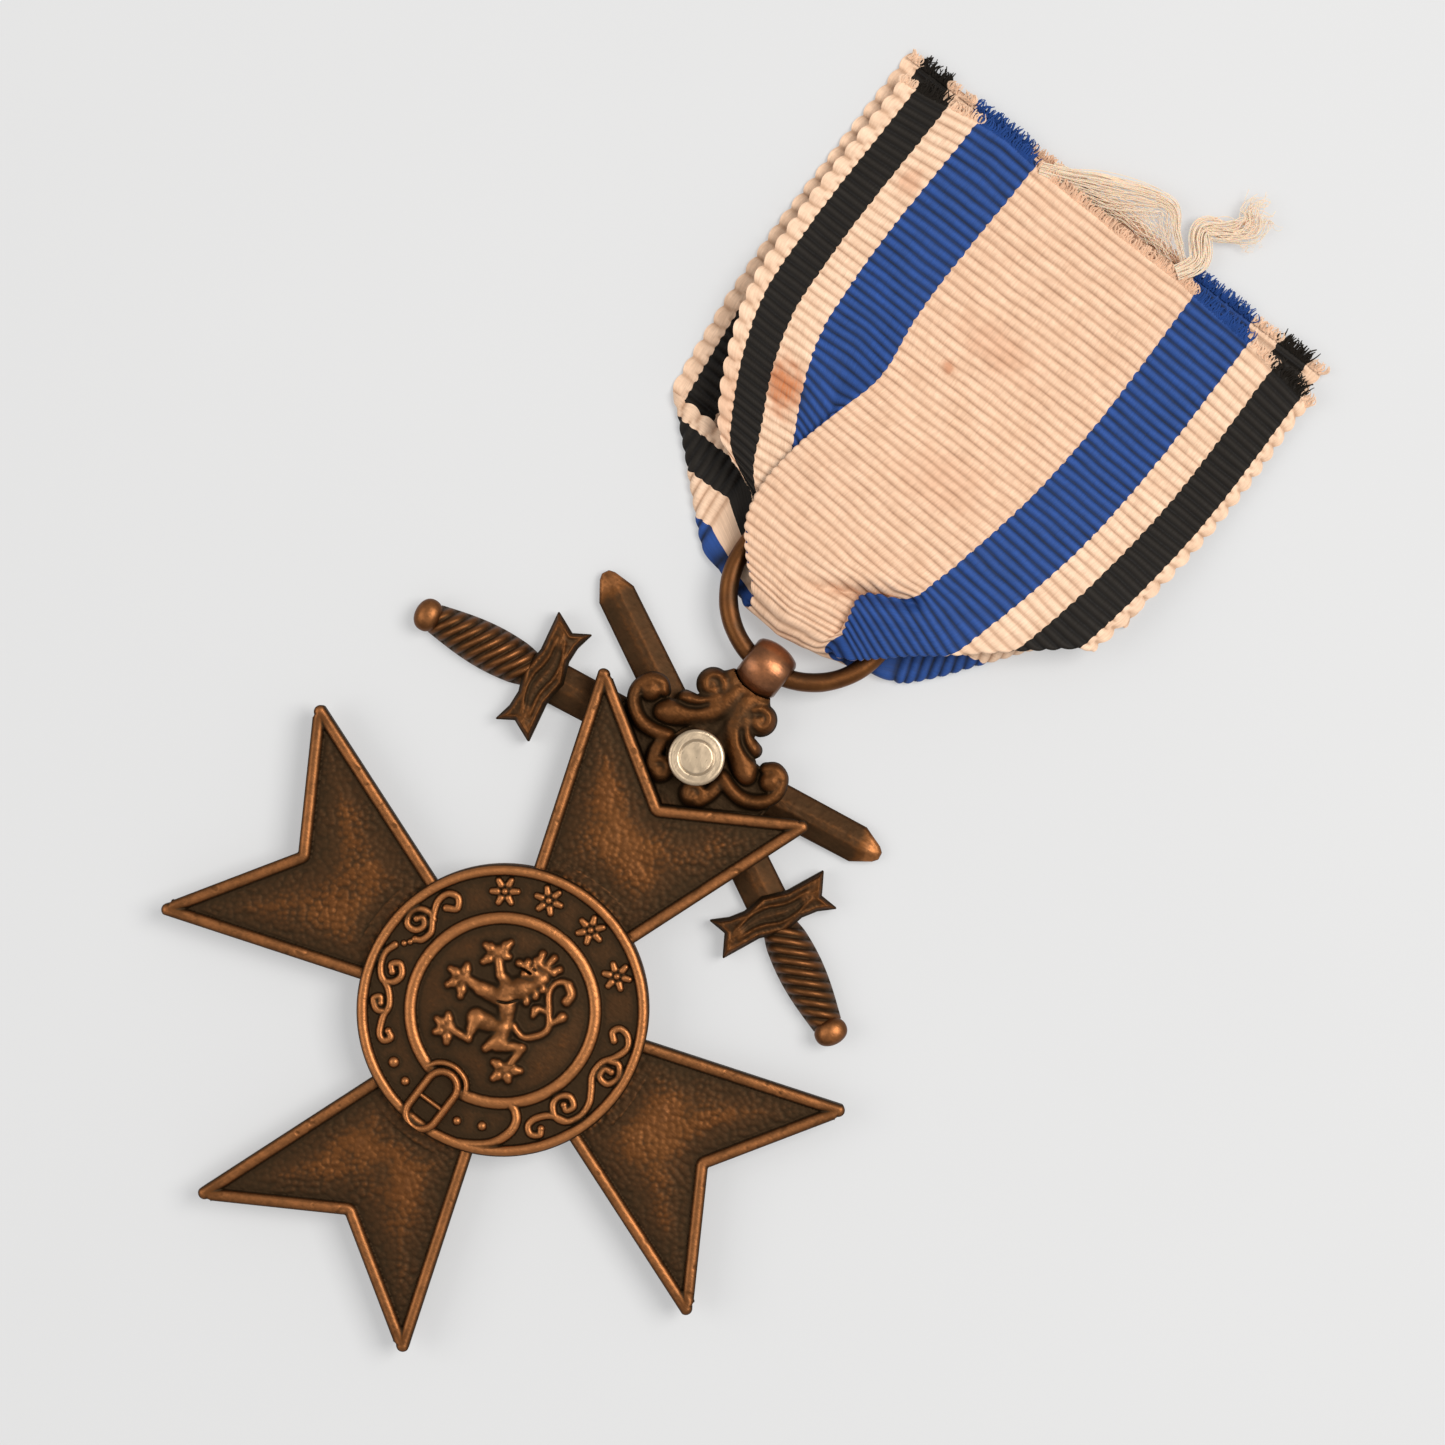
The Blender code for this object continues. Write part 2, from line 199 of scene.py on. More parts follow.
class Relief:
    """A grid of points over a flat piece, cut to its outline, with raised work on it."""

    def __init__(self, x0, x1, y0, y1, pitch, outline):
        self.pitch = pitch
        self.xs = np.arange(x0, x1 + pitch, pitch)
        self.ys = np.arange(y0, y1 + pitch, pitch)
        self.x, self.y = np.meshgrid(self.xs, self.ys)
        away = outline(self.x, self.y)
        inside = away < 0
        self.cells = inside[:-1, :-1] | inside[1:, :-1] | inside[:-1, 1:] | inside[1:, 1:]
        gy, gx = np.gradient(away, pitch)
        pull = np.where(inside, 0, np.clip(away, 0, 2 * pitch)) / np.maximum(gx**2 + gy**2, 0.2)
        self.x = self.x - gx * pull
        self.y = self.y - gy * pull
        self.depth = np.maximum(-outline(self.x, self.y), 0)
        self.up = np.zeros(self.x.shape)

    def window(self, x0, x1, y0, y1):
        """The part of the grid over a rectangle."""
        i0, i1 = np.searchsorted(self.ys, (y0 - self.pitch, y1 + self.pitch))
        j0, j1 = np.searchsorted(self.xs, (x0 - self.pitch, x1 + self.pitch))
        return slice(max(i0 - 1, 0), i1 + 1), slice(max(j0 - 1, 0), j1 + 1)

    def raise_to(self, height):
        """Lifts the work to a height where it is lower."""
        self.up = np.maximum(self.up, height)

    def strip(self, a, b, ra, rb, height, power=0.5):
        """Window and height of a rounded bar from a to b, whose half-width goes from ra to rb."""
        wide = max(ra, rb)
        w = self.window(
            min(a[0], b[0]) - wide, max(a[0], b[0]) + wide, min(a[1], b[1]) - wide, max(a[1], b[1]) + wide
        )
        x, y = self.x[w], self.y[w]
        ex, ey = b[0] - a[0], b[1] - a[1]
        t = unit(((x - a[0]) * ex + (y - a[1]) * ey) / max(ex * ex + ey * ey, 1e-9))
        away = np.hypot(x - a[0] - ex * t, y - a[1] - ey * t)
        return w, height * unit(1 - (away / (ra + (rb - ra) * t)) ** 2) ** power

    def stroke(self, points, half, height, end=1.0, start=1.0, power=0.5):
        """Raises a rounded line. Its half-width goes from start to end times half, most in the middle."""
        count = len(points) - 1
        for k, (a, b) in enumerate(zip(points, points[1:])):
            ta, tb = k / count, (k + 1) / count
            ra = half * min(1, start + 3 * ta, end + 3 * (1 - ta))
            rb = half * min(1, start + 3 * tb, end + 3 * (1 - tb))
            w, lift = self.strip(a, b, ra, rb, height, power)
            self.up[w] = np.maximum(self.up[w], lift)

    def dome(self, centre, r, height, power=0.5):
        w, lift = self.strip(centre, (centre[0] + 1e-4, centre[1]), r, r, height, power)
        self.up[w] = np.maximum(self.up[w], lift)

    def body(self, bars, blend=5.0):
        """Raises bars (a, b, ra, rb, height) that run softly into each other."""
        total = np.zeros(self.x.shape)
        for a, b, ra, rb, height in bars:
            w, lift = self.strip(a, b, ra, rb, height, 0.6)
            total[w] += lift**blend
        self.raise_to(total ** (1 / blend))

    def groove(self, points, half, depth):
        """Cuts a line into what is raised."""
        for a, b in zip(points, points[1:]):
            w, cut = self.strip(a, b, half, half, depth, 1.0)
            self.up[w] = self.up[w] - np.where(self.up[w] > depth, cut, 0)

    def wear(self, z):
        """0 in hollows to 1 on edges and tops that rubbing reaches."""
        fine = (z - blurred(z, 0.16 / self.pitch)) / 0.05
        broad = (z - blurred(z, 0.7 / self.pitch)) / 0.22
        return unit(0.42 + 0.42 * fine + 0.5 * broad)

    def parts(self, front, back, wears=None):
        """Points, faces and wear of a closed mesh between two heights; the cut edge becomes its wall."""
        rows, columns = self.x.shape
        index = np.arange(rows * columns).reshape(rows, columns)
        corner = [index[:-1, :-1], index[:-1, 1:], index[1:, 1:], index[1:, :-1]]
        quads = np.stack([c[self.cells] for c in corner], 1)
        framed = np.pad(self.cells, 1)
        sides = (
            (framed[:-2, 1:-1], 0, 1),
            (framed[1:-1, 2:], 1, 2),
            (framed[2:, 1:-1], 2, 3),
            (framed[1:-1, :-2], 3, 0),
        )
        edges = []
        for beside, a, b in sides:
            open_side = self.cells & ~beside
            edges.append(np.stack([corner[a][open_side], corner[b][open_side]], 1))
        edges = np.concatenate(edges)
        used, packed = np.unique(quads, return_inverse=True)
        quads = packed.reshape(quads.shape)
        place = np.zeros(rows * columns, int)
        place[used] = np.arange(len(used))
        edges = place[edges]
        count = len(used)
        plan = np.stack([self.x.ravel()[used], self.y.ravel()[used]], 1)
        top = np.column_stack([plan, front.ravel()[used]])
        bottom = np.column_stack([plan, back.ravel()[used]])
        walls = np.stack([edges[:, 0], edges[:, 0] + count, edges[:, 1] + count, edges[:, 1]], 1)
        faces = np.concatenate([quads, quads[:, ::-1] + count, walls])
        worn = wears or (self.wear(front), self.wear(-back))
        wear = np.concatenate([w.ravel()[used] for w in worn])
        return np.concatenate([top, bottom]), faces, wear

    def mesh(self, name, front, back, wears=None):
        return from_parts(name, [self.parts(front, back, wears)], 60)


def square_relief(reach, pitch, outline):
    """A grid that goes as far as reach on all four sides."""
    return Relief(-reach, reach, -reach, reach, pitch, outline)


# ---------------------------------------------------------------- meshes


def skin(rings, closed_along=False):
    """Points and faces over an array of closed rings (count, sides, 3)."""
    count, sides = rings.shape[:2]
    index = np.arange(count * sides).reshape(count, sides)
    after = np.roll(index, -1, 0) if closed_along else index[1:]
    before = index if closed_along else index[:-1]
    quads = np.stack([before, np.roll(before, -1, 1), np.roll(after, -1, 1), after], -1)
    return rings.reshape(-1, 3), quads.reshape(-1, 4)


def lathe(profile, segments):
    """Rings (count, segments, 3) of a profile [(r, z), ...] round the Z axis."""
    turn = np.linspace(0, 2 * math.pi, segments, endpoint=False)
    r, z = np.array(profile, float).T
    rings = np.zeros((len(r), segments, 3))
    rings[..., 0] = r[:, None] * np.cos(turn)
    rings[..., 1] = r[:, None] * np.sin(turn)
    rings[..., 2] = z[:, None]
    return rings


def merged(parts):
    """Points, faces and wear of several (points, faces, wear) as one."""
    points, faces, wear = [], [], []
    start = 0
    for p, f, w in parts:
        points.append(p)
        faces.append(np.asarray(f) + start)
        wear.append(np.broadcast_to(w, len(p)))
        start += len(p)
    return np.concatenate(points), np.concatenate(faces), np.concatenate(wear)


def put_fields(mesh, fields):
    """Stores numbers for each point of a mesh, for its material to read."""
    for key, numbers in fields.items():
        found = mesh.attributes.new(key, "FLOAT", "POINT")
        found.data.foreach_set("value", np.asarray(numbers, np.float32).ravel())


def from_parts(name, parts, sharp_deg=50):
    """An object from parts of (points, four-cornered faces, wear)."""
    points, faces, wear = merged(parts)
    mesh = bpy.data.meshes.new(name)
    mesh.vertices.add(len(points))
    mesh.vertices.foreach_set("co", (points * MM).astype(np.float32).ravel())
    mesh.loops.add(faces.size)
    mesh.loops.foreach_set("vertex_index", faces.astype(np.int32).ravel())
    mesh.polygons.add(len(faces))
    mesh.polygons.foreach_set("loop_start", (np.arange(len(faces)) * 4).astype(np.int32))
    mesh.update(calc_edges=True)
    put_fields(mesh, {"wear": wear})
    mesh.validate()
    mesh.shade_smooth()
    mesh.set_sharp_from_angle(angle=math.radians(sharp_deg))
    obj = bpy.data.objects.new(name, mesh)
    bpy.context.scene.collection.objects.link(obj)
    return obj


# ---------------------------------------------------------------- materials

BRONZE_DARK = (0.043, 0.025, 0.0115)
BRONZE_BROWN = (0.070, 0.034, 0.014)
BRONZE_RED = (0.138, 0.054, 0.016)
BRONZE_BRIGHT = (0.375, 0.155, 0.054)


class Nodes:
    """A new material's nodes, with short ways to add and join them."""

    def __init__(self, name):
        self.material = bpy.data.materials.new(name)
        self.material.use_nodes = True
        self.tree = self.material.node_tree
        self.shader = self.tree.nodes["Principled BSDF"]

    def add(self, kind, inputs=None, **settings):
        node = self.tree.nodes.new("ShaderNode" + kind)
        for key, value in settings.items():
            setattr(node, key, value)
        for key, value in (inputs or {}).items():
            self.put(node, key, value)
        return node

    def put(self, node, key, value):
        if isinstance(value, bpy.types.NodeSocket):
            self.tree.links.new(value, node.inputs[key])
        else:
            node.inputs[key].default_value = value

    def maths(self, operation, a, b=0.0, clamp=False):
        node = self.add("Math", {0: a, 1: b}, operation=operation)
        node.use_clamp = clamp
        return node.outputs[0]

    def scaled(self, value, factor, offset=0.5):
        return self.add("Math", {0: value, 1: factor, 2: offset}, operation="MULTIPLY_ADD").outputs[0]

    def noise(self, place, scale, detail=3.0, roughness=0.5):
        settings = {"Vector": place, "Scale": scale, "Detail": detail, "Roughness": roughness}
        return self.add("TexNoise", settings).outputs["Fac"]

    def stretched(self, place, scale):
        return self.add("Mapping", {"Vector": place, "Scale": scale}).outputs[0]

    def on_strip(self, across, along, per_across, per_along):
        """A place on the unrolled ribbon, with its own scale each way."""
        x, y = self.maths("MULTIPLY", across, per_across), self.maths("MULTIPLY", along, per_along)
        return self.add("CombineXYZ", {"X": x, "Y": y}).outputs[0]

    def attribute(self, name):
        return self.add("Attribute", attribute_name=name).outputs["Fac"]

    def ramp(self, value, stops, steps="LINEAR"):
        node = self.add("ValToRGB", {"Fac": value})
        node.color_ramp.interpolation = steps
        elements = node.color_ramp.elements
        while len(elements) < len(stops):
            elements.new(0.5)
        for element, (position, colour) in zip(elements, stops):
            element.position = position
            element.color = (*colour, 1)
        return node.outputs["Color"]

    def mix(self, amount, a, b, kind="MIX"):
        node = self.add("MixRGB", {"Fac": amount, "Color1": a, "Color2": b}, blend_type=kind)
        return node.outputs["Color"]

    def place(self):
        return self.add("TexCoord").outputs["Object"]

    def bump(self, height, strength, distance):
        node = self.add("Bump", {"Height": height, "Strength": strength, "Distance": distance})
        return node.outputs["Normal"]

    def finish(self, **inputs):
        for key, value in inputs.items():
            self.put(self.shader, key.replace("_", " "), value)
        return self.material


def bronze(name, lift=0.0, bright=BRONZE_BRIGHT, smooth=0.0, coat=0.0):
    """Copper-coloured bronze: brown patina that stays in the hollows and wears bright on the edges."""
    n = Nodes(name)
    place = n.place()
    cloud = n.noise(place, 420, 4, 0.6)
    grit = n.noise(place, 3200, 3, 0.65)
    uneven = n.scaled(cloud, 0.34, -0.17 + lift)
    fine = n.scaled(grit, 0.22, -0.11)
    level = n.maths("ADD", n.attribute("wear"), n.maths("ADD", uneven, fine), clamp=True)
    middle = tuple(0.62 * a + 0.38 * b for a, b in zip(BRONZE_DARK, bright))
    stops = [(0.08, BRONZE_DARK), (0.36, BRONZE_BROWN), (0.58, BRONZE_RED)]
    stops += [(0.78, tuple(0.45 * c for c in bright)), (0.97, bright)]
    colour = n.ramp(level, stops)
    tint = n.mix(n.maths("MULTIPLY", cloud, 0.35), colour, (*middle, 1), "SOFT_LIGHT")
    rough = n.add("MapRange", {"Value": level, "To Min": 0.56 - smooth, "To Max": 0.33 - smooth / 2})
    roughness = n.scaled(grit, 0.16, rough.outputs[0])
    scratch = n.noise(n.stretched(place, (1, 7, 1)), 1500, 2, 0.7)
    rise = n.maths("ADD", n.maths("MULTIPLY", grit, 0.6), n.maths("MULTIPLY", scratch, 0.4))
    return n.finish(
        Base_Color=tint,
        Metallic=0.94,
        Roughness=roughness,
        Coat_Weight=coat,
        Coat_Roughness=0.32,
        Normal=n.bump(rise, 0.45, 0.00006),
    )


def silver(name):
    """Worn nickel silver, scratched and a little brown at its edge."""
    n = Nodes(name)
    place = n.place()
    cloud = n.noise(place, 900, 4, 0.6)
    scratch = n.noise(n.stretched(place, (9, 1, 1)), 1400, 3, 0.7)
    level = n.maths("ADD", n.attribute("wear"), n.scaled(cloud, 0.5), clamp=True)
    stops = [(0.2, (0.07, 0.04, 0.025)), (0.6, (0.32, 0.22, 0.14)), (0.95, (0.54, 0.42, 0.29))]
    return n.finish(
        Base_Color=n.ramp(level, stops),
        Metallic=0.95,
        Roughness=n.scaled(scratch, 0.35, 0.16),
        Normal=n.bump(scratch, 0.3, 0.00005),
    )


def dress(obj, material, body, node):
    """Gives a piece its material, its body and its colour slot, and hides the CAD node that it stands for.
    """
    obj.data.materials.append(material)
    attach(obj, body)
    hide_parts(node)


# ---------------------------------------------------------------- the cross


def cross_corners():
    arm = [(WAIST, -WAIST), (TIP_X, -TIP_Y), (NOTCH_REACH, 0), (TIP_X, TIP_Y)]
    corners = []
    for quarter in range(4):
        corners += turned(arm, 90 * quarter)
    return corners


def cross_outline(x, y):
    """Distance to the cross's edge; the tips are rounded. The middle, under the medallions, is left out."""
    tips = np.full(x.shape, -99.0)
    for quarter in range(4):
        for side in (-1, 1):
            ((px, py),) = turned([(TIP_CENTRE[0], side * TIP_CENTRE[1])], 90 * quarter)
            beyond = ((x - px) * px + (y - py) * py) / math.hypot(px, py)
            near = np.hypot(x - px, y - py)
            tips = np.where((beyond > 0) & (near < 3), np.maximum(tips, near - TIP_ROUNDING), tips)
    shape = np.maximum(outline_distance(x, y, cross_corners()), tips)
    return np.maximum(shape, CROSS_HOLE_R - np.hypot(x, y))


def cross_face(relief, seed):
    """Height of one face of the cross over its field: rim, then a grained field that swells a little."""
    x, y = relief.x, relief.y
    e = -outline_distance(x, y, cross_corners())
    under_medallion = 9 * (np.hypot(x, y) < 10)
    e = np.where(e > 0, np.minimum(e, relief.depth + under_medallion), relief.depth)
    t = e / RIM
    bead = unit(1 - np.abs(1.9 * t - 0.92) ** 2.6) ** 0.55
    bead = np.where(t < 0.48, np.maximum(bead, 0.35 + 1.35 * t), bead)
    wobble = soft_noise(x, y, 1.7, seed) - 0.5
    rim = FIELD_DEPTH * np.minimum(bead, 1) * (1 + 0.10 * wobble)
    swell = 0.10 * smooth_step((e - RIM) / 2.6)
    slant_x, slant_y = 0.86 * x + 0.51 * y, 0.86 * y - 0.51 * x
    grains = pebbles(slant_x, slant_y, 0.36, seed + 3) * (0.5 + 0.8 * soft_noise(x, y, 1.3, seed + 5))
    field = swell + 0.060 * grains * smooth_step((e - RIM) / 0.3) - 0.02
    z = np.where(t < 1.0, np.maximum(rim, field * (t > 0.8)), field)
    knock = soft_noise(x, y, 0.5, seed + 9)
    return z - 0.035 * smooth_step((knock - 0.8) / 0.15) * (t < 1)


def cross_wear(relief, z, seed):
    """The fields are rubbed to copper in broad clouds over their middles, and stay dark by the rim."""
    x, y = relief.x, relief.y
    cloud = 0.6 * soft_noise(x, y, 3.6, seed) + 0.4 * soft_noise(x, y, 1.1, seed + 1)
    middle = smooth_step((relief.depth - 1.0) / 2.2)
    field = smooth_step((relief.depth - 0.75) / 0.2)
    worn = relief.wear(z)
    spread = 0.20 + 0.42 * (worn - 0.34) + 0.34 * middle * (0.45 + 0.85 * smooth_step((cloud - 0.2) / 0.6))
    return unit(worn * (1 - field) * 0.86 + field * spread)


def build_cross():
    relief = square_relief(CROSS_REACH, 0.08, cross_outline)
    front = CROSS_FRONT - FIELD_DEPTH + cross_face(relief, 11)
    back = CROSS_BACK + FIELD_DEPTH - cross_face(relief, 47)
    wears = (cross_wear(relief, front, 12), cross_wear(relief, -back, 48))
    return relief.mesh("cross_bronze", front, back, wears)


# ---------------------------------------------------------------- the medallions


def round_outline(x, y):
    return np.hypot(x, y) - MEDALLION_R


# The lion rampant as tapered bars: two ends, the half-width at each, and the height
LION_BARS = (
    # trunk
    ((0.69, 2.75), (0.15, 1.90), 0.52, 0.88, 0.46),
    ((0.15, 1.90), (-0.45, 1.15), 0.88, 0.88, 0.46),
    ((-0.45, 1.15), (0.10, 0.35), 0.88, 0.66, 0.42),
    ((0.10, 0.35), (0.75, -0.75), 0.64, 0.56, 0.38),
    ((0.75, -0.75), (0.95, -1.50), 0.58, 0.66, 0.40),
    # head
    ((0.74, 3.15), (0.10, 3.12), 0.62, 0.50, 0.48),
    ((0.10, 3.16), (-0.62, 3.10), 0.44, 0.36, 0.44),
    # forelegs
    ((-0.55, 1.45), (-1.45, 1.72), 0.62, 0.42, 0.38),
    ((-1.45, 1.72), (-2.20, 2.45), 0.40, 0.36, 0.36),
    ((-0.30, 0.70), (-1.90, 0.30), 0.74, 0.56, 0.42),
    ((-1.90, 0.30), (-3.00, 0.20), 0.50, 0.40, 0.38),
    # hind legs
    ((0.50, -0.90), (-1.00, -1.35), 0.58, 0.74, 0.42),
    ((-1.00, -1.35), (-0.85, -2.10), 0.66, 0.44, 0.40),
    ((-0.85, -2.10), (-0.62, -2.70), 0.34, 0.29, 0.38),
    ((-0.62, -2.70), (-1.80, -2.88), 0.30, 0.34, 0.36),
    ((0.90, -1.40), (0.60, -2.50), 0.64, 0.32, 0.40),
    ((1.00, -1.90), (2.30, -1.15), 0.54, 0.38, 0.40),
    ((2.38, -1.10), (2.42, -2.30), 0.36, 0.32, 0.36),
)
# Each paw's centre and the tips of its toes
PAWS = {
    (-2.42, 2.75): ((-2.18, 3.78), (-3.42, 2.62), (-2.88, 1.62), (-1.68, 2.95)),
    (-3.18, 0.18): ((-3.52, 0.98), (-4.28, 0.10), (-3.78, -0.88), (-2.62, -0.98)),
    (-2.05, -2.92): ((-2.60, -2.20), (-3.02, -2.92), (-2.58, -3.68), (-1.55, -3.78)),
    (2.38, -2.80): ((3.25, -2.28), (1.45, -2.90), (2.10, -3.82), (3.00, -3.30)),
}
TAIL = [(1.10, -0.30), (1.55, -0.48), (2.16, -0.47), (2.82, 0.29), (2.92, 0.95), (2.38, 1.71)]
TAIL += [(1.62, 2.69), (1.62, 3.45), (2.16, 3.82), (2.78, 3.50), (2.85, 2.95)]
CURLS = {(-0.98, 3.02): 0.30, (-0.60, 3.42): 0.27, (-0.12, 3.52): 0.27, (-0.34, 2.66): 0.27}


def between(a, b, share):
    return tuple((1 - share) * p + share * q for p, q in zip(a, b))


def paw(relief, centre, tips):
    """A paw with spread toes."""
    relief.dome(centre, 0.56, 0.36)
    for tip in tips:
        claw = between(centre, tip, 0.90)
        relief.stroke([centre, claw], 0.30, 0.34, end=0.9)
        relief.dome(between(centre, tip, 0.58), 0.40, 0.38)
        relief.dome(claw, 0.27, 0.33)


def lion_tail(relief):
    """The tail, its thick end, and the two tufts beside it."""
    relief.stroke(curve(TAIL), 0.27, 0.33, end=1.0)
    relief.stroke(curve([(2.30, 3.80), (2.80, 3.45), (2.84, 2.92)]), 0.36, 0.37)
    relief.stroke([(2.30, 1.66), (1.70, 1.50)], 0.27, 0.30)
    relief.stroke([(1.62, 1.30), (1.72, 0.92)], 0.42, 0.34, end=0.5, start=0.9)
    relief.stroke([(2.90, 1.10), (3.22, 1.95)], 0.42, 0.35, end=0.9, start=0.4)


def lion_head(relief):
    """The mane's locks, the curls of the muzzle, the jaw and the crown."""
    for x, y in ((1.14, 2.72), (1.04, 2.10), (0.80, 1.48)):
        relief.stroke(curve([(x - 0.45, y + 0.22), (x, y), (x + 0.06, y - 0.20)]), 0.30, 0.42, end=0.6)
    for centre, r in CURLS.items():
        relief.dome(centre, r, 0.44)
    relief.stroke(curve([(0.25, 2.80), (-0.10, 2.70), (-0.34, 2.66)]), 0.29, 0.40)
    relief.stroke(curve([(-0.20, 3.80), (0.45, 3.72), (1.12, 3.84)]), 0.32, 0.42)
    for tip, root in (((-0.16, 4.36), 0.0), ((0.56, 4.58), 0.5), ((1.26, 4.22), 1.0)):
        relief.stroke([(root, 3.85), tip], 0.36, 0.38, end=0.8)
        relief.dome(tip, 0.29, 0.40)


def add_lion(relief):
    before = relief.up
    relief.up = np.zeros(before.shape)
    relief.body(LION_BARS)
    for centre, tips in PAWS.items():
        paw(relief, centre, tips)
    lion_tail(relief)
    lion_head(relief)
    relief.up = blurred(relief.up, 1.5)
    mouth, eye = [(-0.72, 2.80), (-0.40, 2.92), (-0.02, 2.94)], [(-0.06, 3.28), (0.06, 3.30)]
    relief.groove(curve(mouth), 0.09, 0.16)
    relief.groove(eye, 0.10, 0.10)
    relief.groove(curve([(-0.62, 0.30), (-0.10, 0.60), (0.35, 1.15)]), 0.10, 0.06)
    relief.raise_to(before)


def rosette(relief, angle, r=7.5):
    """A small six-petalled flower in the border, where the badge carries its date."""
    centre = on_circle((0, 0), r, math.radians(90 - angle))
    for k in range(6):
        b = math.radians(60 * k - angle)
        relief.stroke([on_circle(centre, 0.48, b), on_circle(centre, 0.80, b)], 0.29, 0.27, end=0.8)
    relief.dome(centre, 0.27, 0.33)


# The S-shaped scrollwork that fills the sides of the border, left lines first
SCROLLS = (
    [(-6.75, 2.95), (-6.20, 3.35), (-6.55, 3.92), (-7.20, 3.75), (-7.42, 3.00), (-7.05, 1.95)]
    + [(-6.60, 1.20), (-6.72, 0.50), (-7.10, 0.20)],
    [(-6.95, 1.90), (-7.40, 2.08), (-8.12, 1.85), (-8.35, 1.25), (-8.05, 0.65), (-7.45, 0.68)]
    + [(-7.18, 1.20), (-7.52, 1.55), (-7.82, 1.28)],
    [(-7.90, -0.85), (-8.10, -1.60), (-7.80, -2.45), (-7.15, -3.05), (-6.55, -2.75), (-6.40, -2.10)]
    + [(-6.90, -1.62), (-7.30, -1.95), (-7.00, -2.30)],
    [(-7.30, -2.95), (-6.55, -3.30), (-5.88, -4.05), (-5.75, -4.85), (-5.30, -5.80), (-4.82, -6.05)]
    + [(-4.55, -5.65), (-4.92, -5.42)],
    [(-5.80, -4.55), (-6.35, -4.75), (-6.88, -4.38), (-6.65, -4.02), (-6.38, -4.30)],
    [(6.70, 2.78), (6.32, 3.15), (6.58, 3.60), (7.22, 3.52), (7.66, 2.90), (7.40, 1.95), (6.95, 1.20)]
    + [(6.95, 0.25), (7.52, -0.65), (7.88, -1.35), (7.92, -2.25), (7.48, -3.05), (6.72, -3.28)]
    + [(6.12, -2.75), (6.12, -2.12), (6.65, -1.72), (7.20, -2.05), (7.00, -2.52), (6.68, -2.36)],
    [(7.15, 1.55), (7.85, 1.75), (8.34, 1.10), (8.05, 0.38), (7.38, 0.42), (7.32, 0.98), (7.78, 1.10)],
    [(7.35, -3.10), (6.45, -3.38), (5.82, -4.05), (5.68, -4.72), (6.10, -5.08), (6.60, -4.80)]
    + [(6.45, -4.42)],
)


def border_scrolls(relief):
    for line in SCROLLS:
        relief.stroke(curve(line, 5), 0.27, 0.27, end=0.8)
        relief.dome(line[-1], 0.27, 0.29)
    for bead in ((-7.07, 0.2), (-7.50, -0.42), (-7.25, -0.12)):
        relief.dome(bead, 0.22, 0.25)


def add_strap(relief):
    """The strap's inner edge, buckle, loose end and studs."""
    x, y = relief.x, relief.y
    ring = unit(1 - ((np.hypot(x, y) - BELT_R) / BELT_HALF) ** 2) ** 0.5
    hidden = smooth_step((1.15 - np.abs(x + 0.1)) / 0.3) * (y < 0)
    relief.raise_to(0.34 * ring * (1 - hidden))
    end = [(3.85, -4.35), (4.45, -4.50), (4.92, -5.00), (5.02, -5.80), (4.65, -6.85), (3.95, -7.60)]
    relief.stroke(curve(end + [(2.75, -8.35), (1.30, -8.80)]), 0.34, 0.34, end=0.5)
    low, high = (-0.1, -8.2), (-0.1, -6.15)
    frame_line = spiral(low, 1.0, 1.0, 180, 360, 12) + spiral(high, 1.0, 1.0, 0, 180, 12)
    relief.stroke(frame_line + frame_line[:1], 0.30, 0.52)
    relief.stroke([(-0.95, -7.32), (0.75, -7.28)], 0.18, 0.34)
    over = [(-1.60, -5.62), (-1.25, -5.10), (-0.75, -4.78), (-0.10, -4.66), (0.60, -4.80), (1.05, -5.12)]
    relief.stroke(curve(over + [(1.35, -5.68)]), 0.24, 0.36)
    studs = {(-3.45, -6.75): 0.37, (-2.15, -7.25): 0.31, (1.95, -7.25): 0.30, (3.40, -6.55): 0.32}
    for centre, r in studs.items():
        relief.dome(centre, r, 0.30)


def build_obverse():
    relief = square_relief(MEDALLION_REACH, 0.052, round_outline)
    x, y = relief.x, relief.y
    r = np.hypot(x, y)
    add_strap(relief)
    for angle in (-36.5, -14.8, 10.0, 35.8):
        rosette(relief, angle)
    border_scrolls(relief)
    add_lion(relief)
    e = relief.depth
    rim = 0.36 * unit(1 - (np.abs(e - 0.36) / 0.36) ** 2.4) ** 0.5
    rim = np.where(e < 0.36, np.maximum(rim, 0.10 + 0.72 * e), rim)
    relief.raise_to(rim)
    dome = np.where(r < BELT_R, 0.24 * (1 - (r / BELT_R) ** 2), 0)
    rough = 0.012 * soft_noise(x, y, 0.16, 3) + 0.02 * soft_noise(x, y, 0.6, 4)
    front = MEDALLION_FIELD + dome + relief.up + rough
    back = np.full(x.shape, OBVERSE_BACK)
    return relief.mesh("obverse_medallion_bronze", front, back)


